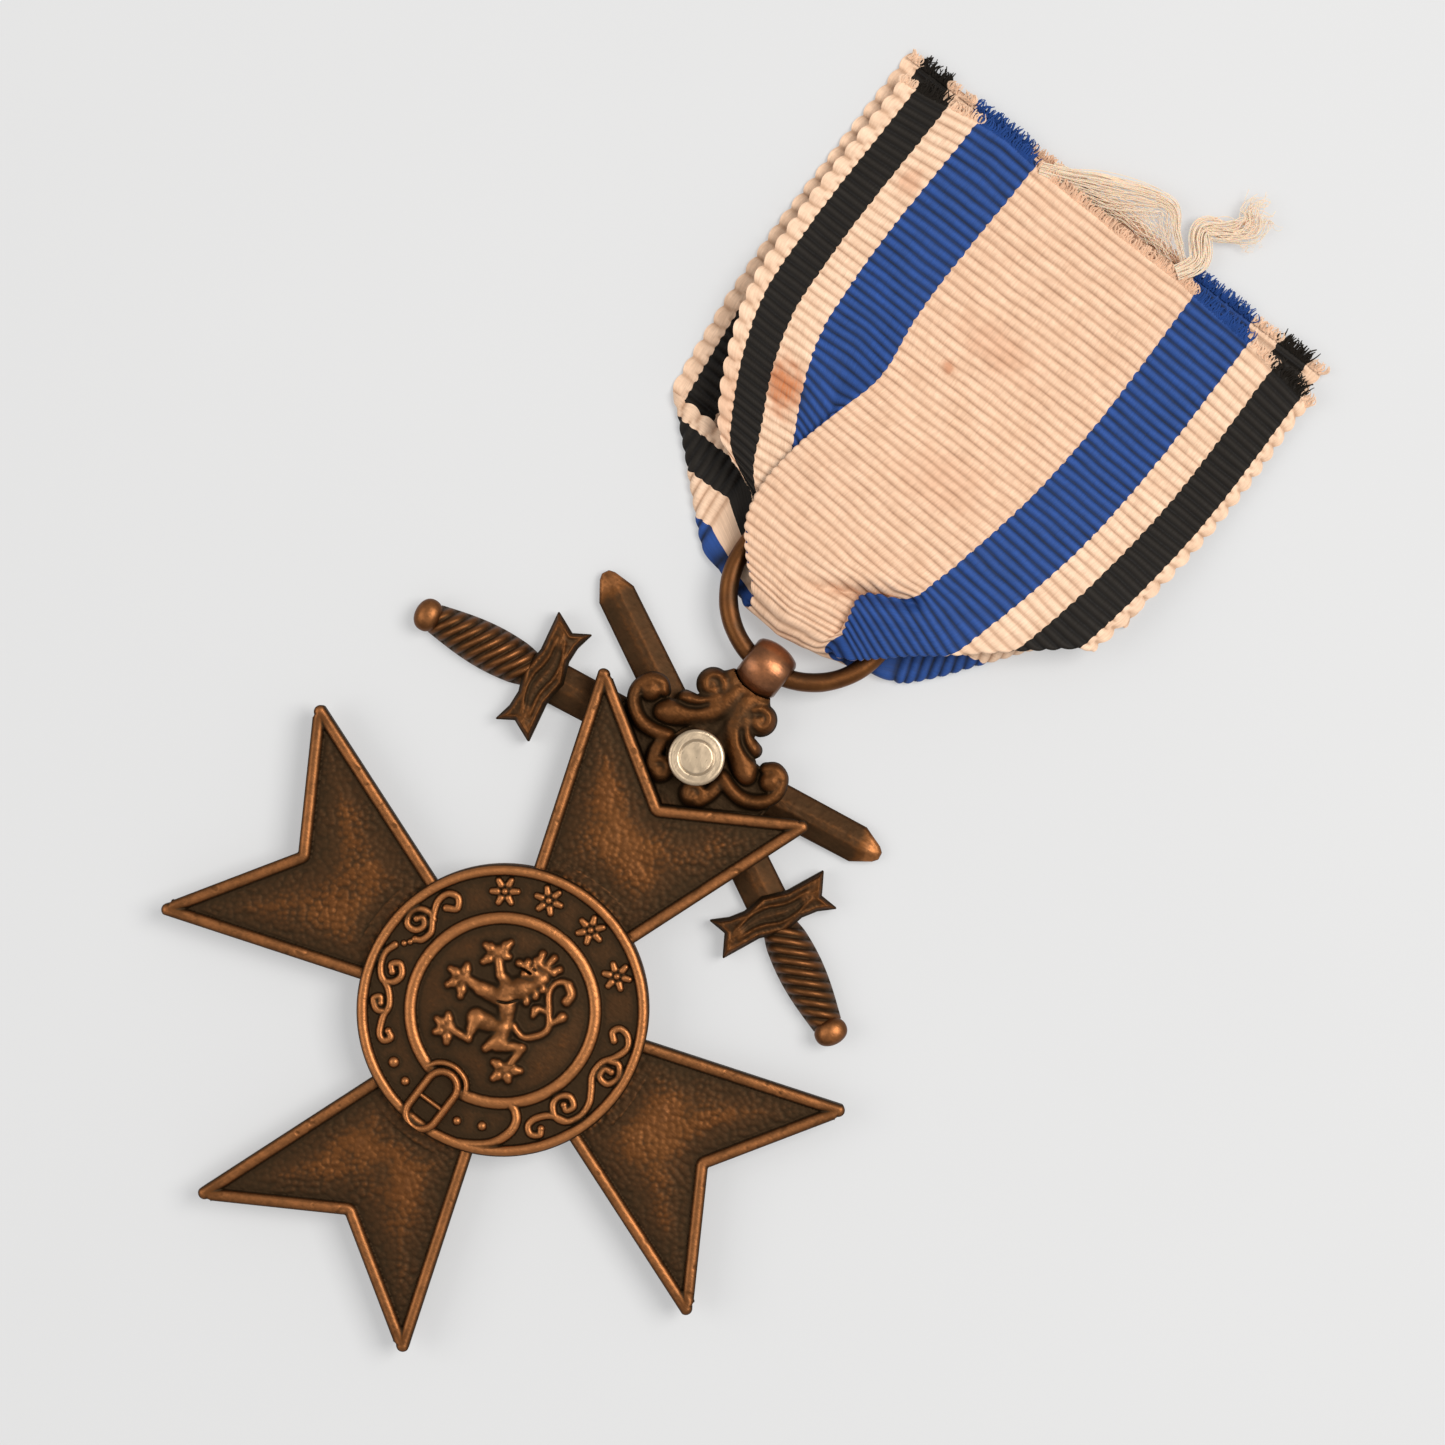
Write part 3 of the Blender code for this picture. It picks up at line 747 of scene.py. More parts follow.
def build_reverse():
    """The back's medallion: a plain raised border, a laurel wreath and a star."""
    relief = square_relief(MEDALLION_REACH, 0.085, round_outline)
    x, y = relief.x, relief.y
    r = np.hypot(x, y)
    for side in (-1, 1):
        for k in range(13):
            a = math.radians(-90 + side * (12 + 11.6 * k))
            root = on_circle((0, 0), 4.9, a)
            for lean in (-0.55, 0.55):
                tip = on_circle(root, 1.35, a + side * (math.pi / 2) + lean)
                relief.stroke([root, tip], 0.32, 0.26, end=0.2, start=0.4)
    for k in range(5):
        point = on_circle((0, 0), 2.5, math.radians(90 + 72 * k))
        relief.stroke([(0, 0), point], 0.55, 0.28, end=0.1)
    ring = unit(1 - ((r - 6.9) / 0.3) ** 2) ** 0.5
    relief.raise_to(0.26 * ring)
    e = relief.depth
    rim = 0.32 * unit(1 - (np.abs(e - 0.4) / 0.4) ** 3) ** 0.5
    relief.raise_to(rim)
    back = np.maximum(0.34 - relief.up - 0.01 * soft_noise(x, y, 0.3, 8), 0.0)
    front = np.full(x.shape, REVERSE_FRONT)
    return relief.mesh("reverse_medallion_bronze", front, back)


# ---------------------------------------------------------------- swords, bracket, ring and rivet


def band_distance(x, y, points, half):
    """Distance to the edge of a band along points, less than 0 inside it."""
    near = np.full(x.shape, 1e9)
    for (ax, ay), (bx, by) in zip(points, points[1:]):
        ex, ey = bx - ax, by - ay
        t = unit(((x - ax) * ex + (y - ay) * ey) / max(ex * ex + ey * ey, 1e-9))
        near = np.minimum(near, np.hypot(x - ax - ex * t, y - ay - ey * t))
    return near - half


# Places along a sword, from the rivet
GUARD_X = -11.0
BLADE_TIP = 13.3
POMMEL = -19.3
HILT_BACK = 0.28
BACK_WEAR = 0.4  # the plain backs of swords and bracket are rubbed evenly


def blade_parts():
    """A blade with a ridge down its middle and a blunt point."""
    outline = [(GUARD_X, -1.38), (11.6, -1.22), (12.9, -0.55), (13.2, -0.25), (13.2, 0.25), (12.9, 0.55)]
    outline += [(11.6, 1.22), (GUARD_X, 1.38)]
    edge_at = partial(outline_distance, points=outline)
    relief = Relief(GUARD_X - 0.1, BLADE_TIP + 0.1, -1.5, 1.5, 0.085, edge_at)
    x, y = relief.x, relief.y
    half = np.clip(1.38 - 0.0071 * (x - GUARD_X), 0.3, 2)
    near_point = smooth_step((x - 11.3) / 1.8)
    slope = np.minimum(1 - np.abs(y) / half, 0.80)
    ridge = 0.42 * (1 - near_point) * slope + near_point * 0.26 * unit(relief.depth / 0.7)
    nicks = 0.03 * soft_noise(x, y, 0.5, 21) + 0.02 * soft_noise(x, y, 0.16, 22)
    edge = 0.12 * unit(1 - relief.depth / 0.16) ** 2
    front = 0.58 + ridge - edge + nicks - 0.03
    bare = relief.wear(front)
    tip = smooth_step((x - 11.3) / 1.2) * (0.30 + 0.3 * soft_noise(x, y, 0.7, 23))
    patch = uneven(x, y, 1.8, 24, 0.16)
    rubbed = unit(bare * 0.48 + patch + tip + 0.30 * unit(1 - relief.depth / 0.16))
    back = np.full(x.shape, 0.30)
    return relief.parts(front, back, (rubbed, np.full(x.shape, BACK_WEAR)))


def guard_outline():
    """One guard: waisted arms that end in two sharp points each, about (0, 0)."""
    half = [(1.30, 0.15), (0.92, 1.55), (1.00, 2.60), (1.38, 3.72), (0.30, 3.22), (-1.05, 4.02)]
    half += [(-0.98, 2.60), (-0.92, 1.45), (-1.18, 0.35)]
    return half + [(-x, -y) for x, y in half]


def guard_parts():
    """The guard's front: two long facets that meet in a ridge, round a narrow lozenge in the middle."""
    points = guard_outline()
    relief = Relief(-1.6, 1.6, -4.2, 4.2, 0.05, lambda x, y: outline_distance(x, y, points) - 0.06)
    x, y = relief.x, relief.y
    e = relief.depth
    bow = 0.16 * np.sin(1.5 * y)
    roof = 0.34 * unit(1 - np.abs(x - bow) / 1.25) + 0.16 * smooth_step(e / 0.35)
    lozenge = 0.62 - 0.30 * np.abs(y) / 2.4
    line = bell((np.abs(x - bow) - lozenge) / 0.13) * smooth_step((2.9 - np.abs(y)) / 0.5)
    hollow = smooth_step((lozenge - np.abs(x - bow)) / 0.25) * smooth_step((2.4 - np.abs(y)) / 0.6)
    rough = 0.05 * soft_noise(x, y, 0.35, 31) + 0.03 * soft_noise(x, y, 0.14, 32)
    rim = 0.09 * bell((e - 0.26) / 0.10)
    front = 1.24 + roof + rim + 0.10 * line - 0.13 * hollow + rough - 0.12 * unit(1 - e / 0.12)
    wear = unit(0.60 * relief.wear(blurred(front, 1.0)) - 0.07)
    back = np.full(x.shape, HILT_BACK)
    placed, faces, wear = relief.parts(front, back, (wear, np.full(x.shape, BACK_WEAR)))
    return placed + np.array([GUARD_X, 0, 0]), faces, wear


def grip_parts():
    """The grip: a flat-backed bar, swelling in the middle, with slanting ribs all round its front."""
    along = np.linspace(POMMEL + 0.45, GUARD_X - 0.55, 150)
    sides = 44
    t = (along - along[0]) / (along[-1] - along[0])
    half = 0.80 + 0.68 * np.sin(math.pi * (0.10 + 0.70 * t)) ** 1.2 - 0.12 * smooth_step((t - 0.8) / 0.2)
    rise = 1.12 + 0.42 * np.sin(math.pi * t)
    turn = np.linspace(0, math.pi, sides)
    phase = along[:, None] - 0.62 * half[:, None] * np.cos(turn)[None, :] - 0.10 * np.sin(turn)
    rib = np.abs(np.sin(math.pi * phase / 0.74)) ** 0.9
    quiet = np.minimum(1, np.sin(turn) * 4)[None, :]
    ends = np.minimum(smooth_step(t / 0.06), smooth_step((1 - t) / 0.08))[:, None]
    deep = 0.15 * quiet * (0.35 + 0.65 * ends)
    r = 1 - deep * (1 - rib)
    rings = np.zeros((len(along), sides, 3))
    rings[..., 0] = along[:, None]
    rings[..., 1] = half[:, None] * np.cos(turn) * r
    rings[..., 2] = HILT_BACK + rise[:, None] * np.sin(turn) * r
    rub = 0.12 + 0.72 * rib**1.5 * (0.45 + 0.55 * np.sin(turn)[None, :])
    points, faces = skin(rings)
    return points, faces, rub.ravel()


def pommel_parts():
    turn = np.linspace(0.06, math.pi - 0.06, 30)
    lumpy = 1 + 0.03 * np.sin(3 * turn)
    rings = lathe(np.column_stack([0.92 * np.sin(turn) * lumpy, -0.86 * np.cos(turn)]), 40)
    points, faces = skin(rings)
    flat = points[:, [2, 0, 1]] * np.array([0.98, 1.20, 0.88])
    wear = 0.55 + 0.35 * unit(points[:, 1] / 0.8)
    return flat + np.array([POMMEL, 0, 1.08]), faces, wear


def build_sword(name):
    parts = [blade_parts(), guard_parts(), grip_parts(), pommel_parts()]
    a = math.radians(SWORD_ANGLES[name])
    spin = np.array([[math.cos(a), -math.sin(a), 0], [math.sin(a), math.cos(a), 0], [0, 0, 1]])
    lift = 0.0 if name == "sword_hilt_left" else 0.01
    moved = [(p @ spin.T + np.array([0, RIVET[1], lift]), f, w) for p, f, w in parts]
    return from_parts(name.replace("hilt", "bronze"), moved)


BRACKET_X = -0.17
BOSS_Y, NECK_TOP = 20.1, 26.75
NOTCH_OVERLAP = 0.04  # how far the bracket's edge reaches into the cross's, so that no gap shows
BRACKET_BACK, BRACKET_FRONT = CROSS_BACK, 1.74
VOLUTE, VOLUTE_R = (1.88, 24.38), 1.08
SCROLL_BEAD, SCROLL_BEAD_R = (4.78, 21.7), 0.72
CURL, CURL_R = (1.28, 18.1), 0.92


def sided(points, side):
    """Points of one half of the bracket, on its left (-1) or right (1)."""
    return [(side * x + BRACKET_X, y) for x, y in points]


# One half of the bracket's leaves and scrolls: points, half-width, height, start width, end width
LEAF = [(0.45, 25.0), (0.55, 24.1), (0.95, 23.15), (1.65, 22.35), (2.45, 21.75), (3.30, 21.10)]
SMALL_LEAF = [(1.15, 24.0), (1.35, 23.35), (1.95, 22.85), (2.75, 22.62)]
HOOK = [(4.05, 22.15), (4.55, 22.52), (5.20, 22.30), (5.55, 21.50), (5.42, 20.75), (4.85, 20.10)]
HOOK += [(3.95, 19.72), (2.95, 19.80), (2.15, 20.10)]
UNDER = [(2.25, 19.60), (2.15, 18.70), (1.80, 17.85)]
HALF_BANDS = (
    (LEAF, 0.86, 0.62, 0.6, 0.75),
    (SMALL_LEAF, 0.56, 0.64, 0.5, 0.8),
    (HOOK, 0.46, 0.52, 0.8, 0.9),
    (UNDER, 0.50, 0.34, 0.8, 0.7),
)


def bracket_bands():
    """The bands of HALF_BANDS on both sides, as smooth lines."""
    return [(sided(curve(line), side), *sizes) for side in (-1, 1) for line, *sizes in HALF_BANDS]


def bracket_shade_bed():
    """The low dark plate that the scrolls stand on: a dark sheet that fills the openings between them as
    painted shade.
    """
    half = [(0, 22.3), (4.2, 22.0), (5.2, 21.2), (5.75, 20.2), (5.6, 19.4), (3.3, 17.9), (0, 15.8)]
    return [(x + BRACKET_X, y) for x, y in half + [(-x, y) for x, y in half[-2:0:-1]]]


def bracket_outline(x, y):
    """Distance to the bracket's edge: neck, boss, bed and scrolls, cut off at the ball and the cross."""
    shape = np.hypot(x - BRACKET_X, y - BOSS_Y) - 2.15
    neck = [(-1.20, NECK_TOP), (-1.22, 26.05), (-1.46, 25.95), (-1.72, 25.60), (-2.10, 25.25), (-1.1, 24.0)]
    neck += [(-1.6, 22.4), (-1.9, 21.0), (0, 19.0)]
    neck = [(px + BRACKET_X, py) for px, py in neck + [(-px, py) for px, py in neck[-2::-1]]]
    shape = np.minimum(shape, outline_distance(x, y, neck))
    for points, half, *_ in bracket_bands():
        shape = np.minimum(shape, band_distance(x, y, points[::2] + points[-1:], half * 0.93))
    shape = np.minimum(shape, outline_distance(x, y, bracket_shade_bed()))
    for (cx, cy), r in ((VOLUTE, VOLUTE_R), (SCROLL_BEAD, SCROLL_BEAD_R), (CURL, CURL_R)):
        for side in (-1, 1):
            shape = np.minimum(shape, np.hypot(x - side * cx - BRACKET_X, y - cy) - r)
    shape = np.maximum(shape, y - NECK_TOP)
    return np.maximum(shape, -NOTCH_OVERLAP - outline_distance(x, y, cross_corners()))


def coil(relief, centre, r, side, start, half, height):
    """A rolled-up scroll end: a line that winds in to a bead, over a low disc."""
    relief.dome(centre, r, 0.5 * height, 0.35)
    turn = spiral(centre, r - half, 0.35 * r, start, start + side * 330, 26)
    relief.stroke(turn, half, height, end=0.8, start=0.9, power=0.6)
    relief.dome(centre, 0.36 * r, 0.95 * height)


def build_bracket():
    relief = Relief(-6.6, 6.4, 16.1, 27.0, 0.058, bracket_outline)
    x, y = relief.x, relief.y
    off_boss = np.hypot(x - BRACKET_X, y - BOSS_Y) > 1.9
    # low marks the dark plate, a sheet of painted shade in the openings between the scrolls; below, it
    # sinks where no scroll stands on it
    low = smooth_step(-outline_distance(x, y, bracket_shade_bed()) / 0.3) * off_boss
    web = 0.30 * smooth_step(relief.depth / 0.5)
    web -= 0.24 * bell((x - BRACKET_X) / 0.42) * smooth_step((25.9 - y) / 1.5)
    for points, half, height, start, end in bracket_bands():
        relief.stroke(points, half, height, end=end, start=start, power=0.5)
    for side in (-1, 1):
        (volute,), (bead,), (curl,) = (sided([c], side) for c in (VOLUTE, SCROLL_BEAD, CURL))
        coil(relief, volute, VOLUTE_R, -side, 90 + side * 75, 0.34, 0.62)
        coil(relief, curl, CURL_R, side, 90 - side * 70, 0.28, 0.44)
        relief.dome(bead, SCROLL_BEAD_R, 0.66)
        relief.stroke(sided([(4.55, 22.5), (5.2, 22.3)], side), 0.40, 0.6)
        split = [(1.30, 23.20), (1.85, 22.60), (2.50, 22.28), (3.20, 22.15)]
        relief.groove(curve(sided(split, side)), 0.18, 0.16)
        relief.stroke(curve(sided([(0.7, 24.7), (1.05, 25.5), (1.45, 26.2)], side)), 0.62, 0.50)
    relief.stroke([(BRACKET_X, 25.9), (BRACKET_X, 26.7)], 1.2, 0.50)
    core = smooth_step((1.9 - np.abs(x - BRACKET_X)) / 0.5) * smooth_step((y - 21.0) / 0.6)
    raised = np.maximum(relief.up, web * core)
    bare = 1 - smooth_step(blurred(relief.up, 1.0) / 0.22)
    soft = blurred(raised, 2.2) - 0.30 * low * bare * (1 - core)
    rough = 0.035 * soft_noise(x, y, 0.28, 61) + 0.02 * soft_noise(x, y, 0.1, 62)
    front = BRACKET_FRONT + soft + rough - 0.14 * unit(1 - relief.depth / 0.14)
    barrel = BALL_GAP + barrel_radius(np.clip((x - BALL[0]) / BALL_HALF, -1, 1))
    reach = barrel**2 - (y - BALL[1]) ** 2
    sunk = BALL[2] - np.sqrt(np.maximum(reach, 0))
    under = (reach > 0) & (np.abs(x - BALL[0]) < BALL_HALF - 0.01)
    front = np.where(under, np.minimum(front, np.maximum(sunk, BRACKET_BACK + 0.05)), front)
    wear = unit(relief.wear(front) * 0.40 + 0.34 * relief.up + uneven(x, y, 1.1, 63, 0.14))
    back = np.full(x.shape, BRACKET_BACK)
    return relief.mesh("suspension_bracket_bronze", front, back, (wear, np.full(x.shape, BACK_WEAR)))


def barrel_radius(t):
    """The ball's radius, where t goes from -1 at one end to 1 at the other."""
    return BALL_R - (BALL_R - BALL_END_R) * np.abs(t) ** 2.2


def build_ball():
    """The barrel on top of the bracket, with rounded shoulders and its bore."""
    profile = [(BALL_BORE_R, -BALL_HALF)]
    for t in np.linspace(-1, 1, 41):
        shoulder = 0.16 * unit((abs(t) - 0.86) / 0.14) ** 2
        profile.append((barrel_radius(t) - shoulder, BALL_HALF * t))
    profile.append((BALL_BORE_R, BALL_HALF))
    points, faces = skin(lathe(profile, 96), closed_along=True)
    placed = points[:, [2, 0, 1]] + np.array(BALL)
    face = np.hypot(points[:, 0], points[:, 1])
    wear = unit(0.30 + 0.42 * (face - BALL_BORE_R) / (BALL_R - BALL_BORE_R))
    return from_parts("suspension_ball_bronze", [(placed, faces, wear)], 50)


def build_ring():
    """The wire ring, drawn a little unevenly and rubbed on its outer side."""
    around = np.linspace(0, 2 * math.pi, 260, endpoint=False)
    wire = np.linspace(0, 2 * math.pi, 28, endpoint=False)
    a, b = np.meshgrid(around, wire, indexing="ij")
    drawn = WIRE_R * (1 + 0.012 * np.sin(5 * a + 1) + 0.008 * np.sin(13 * a))
    drawn = drawn + uneven(a * 9, b * 2.4, 1.0, 71, 0.012)
    r = RING_R + drawn * np.cos(b)
    rings = np.stack([r * np.cos(a), r * np.sin(a), drawn * np.sin(b)], -1)
    points, faces = skin(rings + np.array(RING), closed_along=True)
    wear = 0.34 + 0.16 * np.cos(b) + 0.14 * np.sin(b) + uneven(a * 6, b, 1.0, 72, 0.25)
    return from_parts("suspension_ring_bronze", [(points, faces, wear.ravel())], 80)


def build_rivet():
    """The rivet: flat head with a shallow ring cut in it, plain shank and spread tail."""
    top, head = 3.4, 2.55
    profile = [(0.01, 0.06), (0.9, 0.06), (1.15, 0.10), (1.2, 0.20), (1.15, 0.25), (0.58, 0.25)]
    profile += [(0.58, head), (1.70, head), (1.77, head + 0.08), (1.79, top - 0.16)]
    profile += [(1.74, top - 0.06), (1.62, top)]
    for r in np.linspace(1.5, 0.02, 40):
        cut = 0.06 * bell((r - 1.08) / 0.055)
        profile.append((r, top - cut - 0.02 * (r / 1.5) ** 2))
    points, faces = skin(lathe(profile, 120))
    lumps = uneven(points[:, 0] + 9, points[:, 1] + 9, 0.4, 81, 0.015)
    points[:, 2] += lumps * (points[:, 2] > top - 0.12)
    r = np.hypot(points[:, 0], points[:, 1])
    groove = bell((r - 1.08) / 0.09)
    wear = np.where(points[:, 2] > top - 0.13, 0.78 - 0.30 * groove, 0.30)
    shifted = points + np.array([RIVET[0] - 0.05, RIVET[1] + 0.05, 0])
    return from_parts("rivet_silver", [(shifted, faces, wear)], 40)


# ---------------------------------------------------------------- the ribbon

HALF_WIDTH = 16.6
STRIP = 70.0
LOOP_FRONT, LOOP_BACK = 33.2, 36.8  # where the strip starts and ends its turn through the ring
STRIPES = (6.55, 11.1, 13.25, 15.5)  # cream, blue, white, black, then the white edge
RIB = 0.66
BEAD = 1.25

FRONT_KNOTS = (0, 12, 16.3, 20, 24, 26.5, 29, 31.5, 34)
# For some places across the strip, where each knot down the front leaf lies: (x, y) and its level
# above the lowest front layer. The left edge swings in under the centre, the right blue laps over it.
FRONT_RAILS = {
    -16.6: [(-15.95, 62.2), (-15.95, 50.3), (-15.6, 46.0), (-14.5, 42.5), (-12.7, 38.9)]
    + [(-11.2, 37.0), (-8.9, 36.0), (-6.3, 35.0), (-3.5, 33.5)],
    -13.25: [(-12.6, 62.7), (-12.65, 50.3), (-12.3, 46.0), (-11.2, 42.4), (-9.4, 38.8)]
    + [(-8.3, 36.6), (-6.6, 35.0), (-4.8, 33.6), (-3.0, 32.2)],
    -11.1: [(-10.45, 63.1), (-10.55, 50.3), (-10.1, 46.0), (-8.85, 42.5), (-7.0, 39.0)]
    + [(-5.9, 36.8), (-4.9, 34.8), (-3.6, 33.0), (-2.6, 31.6)],
    -9.0: [(-8.35, 63.3), (-8.35, 50.3), (-7.9, 46.2), (-6.4, 41.9), (-4.7, 38.0)]
    + [(-3.7, 35.7), (-3.2, 33.9), (-2.7, 32.4), (-2.2, 31.2)],
    -6.5: [(-5.85, 63.1), (-5.95, 50.3), (-5.45, 46.0), (-6.4, 42.4), (-7.3, 38.6)]
    + [(-7.45, 36.2), (-6.9, 33.8), (-5.4, 31.9), (-3.6, 30.5)],
    0.0: [(0.65, 62.9), (0.6, 50.3), (0.5, 46.0), (-0.2, 42.2), (-0.9, 38.2)]
    + [(-1.2, 35.9), (-1.4, 33.7), (-1.2, 31.6), (-0.9, 30.2)],
    5.2: [(5.85, 62.9), (5.75, 50.2), (5.4, 45.9), (4.8, 42.1), (3.9, 38.0)]
    + [(3.35, 35.7), (2.9, 34.0), (2.5, 32.2), (1.9, 30.6)],
    6.6: [(7.1, 62.8), (7.1, 50.2), (6.7, 45.9), (6.05, 42.1), (5.15, 38.0)]
    + [(4.5, 36.2), (1.9, 34.7), (2.1, 32.9), (2.8, 31.2)],
    11.1: [(11.6, 62.5), (11.5, 50.1), (11.1, 45.7), (10.4, 41.8), (9.4, 37.6)]
    + [(8.6, 34.8), (7.0, 33.1), (5.1, 31.7), (3.8, 30.7)],
    13.25: [(13.8, 62.2), (13.75, 50.0), (13.25, 45.5), (12.6, 41.5), (11.6, 37.3)]
    + [(10.5, 34.6), (8.4, 32.6), (6.2, 31.2), (4.5, 30.2)],
    15.6: [(16.5, 61.8), (16.4, 49.9), (15.9, 45.3), (15.2, 41.2), (14.3, 37.0)]
    + [(13.6, 34.5), (12.3, 32.0), (9.9, 30.5), (6.9, 29.7)],
    16.6: [(17.0, 61.5), (16.95, 49.9), (16.45, 45.2), (15.75, 41.2), (14.9, 36.9)]
    + [(14.3, 34.4), (12.9, 31.8), (10.5, 30.2), (7.3, 29.4)],
}
FRONT_LEVELS = {
    -16.6: (0, 0, 0, 0, 0, 0, 0, 0, 0),
    -13.25: (0, 0, 0.05, 0.1, 0.1, 0.05, 0, 0, 0),
    -11.1: (0, 0, 0.1, 0.1, 0.1, 0.1, 0.1, 0.1, 0.1),
    -9.0: (0, 0.05, 0.15, 0.1, 0.2, 0.2, 0.2, 0.2, 0.2),
    -6.5: (0, 0.1, 0.6, 0.65, 0.6, 0.55, 0.5, 0.45, 0.4),
    0.0: (0, 0.1, 0.35, 0.7, 1.15, 1.25, 1.25, 1.15, 1.0),
    5.2: (0, 0.05, 0.2, 0.5, 0.7, 0.45, 0.3, 0.3, 0.3),
    6.6: (0, 0.05, 0.2, 0.45, 0.75, 1.1, 1.35, 1.1, 0.8),
    11.1: (0, 0.05, 0.15, 0.3, 0.5, 0.7, 0.9, 0.7, 0.5),
    13.25: (0, 0.05, 0.1, 0.2, 0.3, 0.4, 0.2, 0.1, 0),
    15.6: (0.1, 0.1, 0.1, 0.2, 0.3, 0.3, 0.3, 0.3, 0.2),
    16.6: (-0.2, -0.2, -0.2, -0.1, 0.1, 0.2, 0.2, 0.2, 0.1),
}
# Straight folds as (a point on it, its direction, the side that folds over)
FRONT_RIGHT_FOLD = ((14.9, 40.05), (-0.761, -0.648), -1)
BACK_LEFT_FOLD = ((-15.6, 37.6), (0.737, -0.676), 1)
BACK_RIGHT_FOLD = ((11.7, 36.9), (-0.600, -0.800), -1)
# How far the back leaf's left side swings right on its way down, and the crease over the front centre
BACK_SWING_Y = (32.3, 34.5, 37.7, 40.0, 44.5, 50.0)
BACK_SWING_X = (1.65, 1.45, 1.1, 0.8, 0.3, 0.0)
CREASE_START, CREASE_END = (-2.3, 32.5), (4.6, 36.1)


def along_knots(values, knots, v):
    """A smooth line through values at knots, read at v."""
    values = np.array(values, float)
    knots = np.array(knots, float)
    slope = np.gradient(values, knots, axis=0)
    k = np.clip(np.searchsorted(knots, v, side="right") - 1, 0, len(knots) - 2)
    gap = knots[k + 1] - knots[k]
    t = unit((v - knots[k]) / gap)
    if values.ndim == 2:
        gap, t = gap[:, None], t[:, None]
    a, b = values[k], values[k + 1]
    ma, mb = slope[k] * gap, slope[k + 1] * gap
    leaving = a * (2 * t**3 - 3 * t**2 + 1) + ma * (t**3 - 2 * t**2 + t)
    return leaving + b * (3 * t**2 - 2 * t**3) + mb * (t**3 - t**2)


def folded(x, y, fold):
    """x and y after what lies past a straight fold is turned over it, and how far past it each was."""
    (px, py), (dx, dy), side = fold
    size = math.hypot(dx, dy)
    dx, dy = dx / size, dy / size
    past = side * (dy * (x - px) - dx * (y - py))
    past = np.maximum(past, 0)
    return x - 2 * side * dy * past, y + 2 * side * dx * past, past


def leaf_level(y):
    """Height of the front leaf's lowest layer: over the ring below, near the back leaf at its end."""
    return 0.85 + 1.85 * smooth_step((56 - y) / 16)


def front_leaf(u, v):
    """Positions (rows v, columns u, 3) of the front leaf."""
    rails = sorted(FRONT_RAILS)
    xy = np.stack([along_knots(FRONT_RAILS[r], FRONT_KNOTS, v) for r in rails], 1)
    level = np.stack([along_knots(FRONT_LEVELS[r], FRONT_KNOTS, v) for r in rails], 1)
    out = np.zeros((len(v), len(u), 3))
    for i in range(len(v)):
        for axis in (0, 1):
            out[i, :, axis] = np.interp(u, rails, xy[i, :, axis])
        out[i, :, 2] = np.interp(u, rails, level[i])
    x, y, past = folded(out[..., 0], out[..., 1], FRONT_RIGHT_FOLD)
    under = 0.75 * smooth_step(past / 0.5)
    return np.stack([x, y, leaf_level(out[..., 1]) + out[..., 2] - under], -1)


def back_leaf(u, v):
    """Positions of the back leaf. Both of its sides are turned over in front of it, behind the ring."""
    x = np.broadcast_to(u - 0.1, (len(v), len(u)))
    y = np.broadcast_to((63.85 - (STRIP - v))[:, None], x.shape)
    x = x + np.interp(y, BACK_SWING_Y, BACK_SWING_X) * unit(-u / 11)
    x, y, left = folded(x, y, BACK_LEFT_FOLD)
    x, y, right = folded(x, y, BACK_RIGHT_FOLD)
    past = np.maximum(left, right)
    low = 31.3 + 0.09 * (x - 5)
    y = np.where(x > 3, low + np.logaddexp(0, (y - low) * 2.5) / 2.5, y)
    z = 0.22 + 0.50 * smooth_step(past / 0.5) + 0.04 * np.sin(0.45 * x + 0.3 * y)
    return np.stack([x, y, z], -1)


def creased(points):
    """The front leaf with the sharp dip across its centre, where it bends over to go into the ring."""
    (ax, ay), (bx, by) = CREASE_START, CREASE_END
    length = math.hypot(bx - ax, by - ay)
    dx, dy = (bx - ax) / length, (by - ay) / length
    x, y = points[..., 0], points[..., 1]
    along = (x - ax) * dx + (y - ay) * dy
    above = (y - ay) * dx - (x - ax) * dy
    amount = smooth_step(along / 4.0) * smooth_step((length + 1.2 - along) / 1.2)
    dip = -0.95 * bell((above + 0.15) / 0.30)
    swell = 0.55 * bell((above - 1.0) / 0.85) + 0.25 * bell((above + 1.3) / 0.7)
    points[..., 2] += amount * (dip + swell)
    return points


def loop_turn(u, front_row, back_row, v):
    """The turn through the ring, from the last row of the front leaf to the first of the back leaf."""
    t = ((v - LOOP_FRONT) / (LOOP_BACK - LOOP_FRONT))[:, None]
    rail = np.array([-16.6, -13.0, -10.0, -6.5, 0.0, 5.2, 6.6, 11.1, 16.6])
    low_x = np.interp(u, rail, [-2.6, -2.4, -3.0, -3.3, -0.7, 2.0, 2.6, 3.0, 2.2])[None, :]
    low_y = np.interp(u, rail, [30.6, 30.4, 30.1, 29.5, 29.3, 30.0, 30.3, 30.9, 31.2])[None, :]
    low_z = np.full_like(low_x, 1.85)
    ease_in, ease_out = (1 - t) ** 2, t**2
    middle = 2 * t * (1 - t)
    points = []
    for axis, low in enumerate((low_x, low_y, low_z)):
        a, b = front_row[None, :, axis], back_row[None, :, axis]
        control = 2 * low - 0.5 * (a + b)
        points.append(a * ease_in + control * middle + b * ease_out)
    return np.stack(points, -1)


def smoothed_rows(points, passes):
    """The sheet eased a little, which rounds its folds. Its outer edges stay."""
    for _ in range(passes):
        inner = points[1:-1, 1:-1]
        beside = points[:-2, 1:-1] + points[2:, 1:-1] + points[1:-1, :-2] + points[1:-1, 2:]
        points[1:-1, 1:-1] = 0.5 * inner + 0.125 * beside
    return points


def sheet_normals(points):
    du = np.gradient(points, axis=1)
    dv = np.gradient(points, axis=0)
    normal = np.cross(du, -dv)
    return normal / np.maximum(np.linalg.norm(normal, axis=-1, keepdims=True), 1e-9)


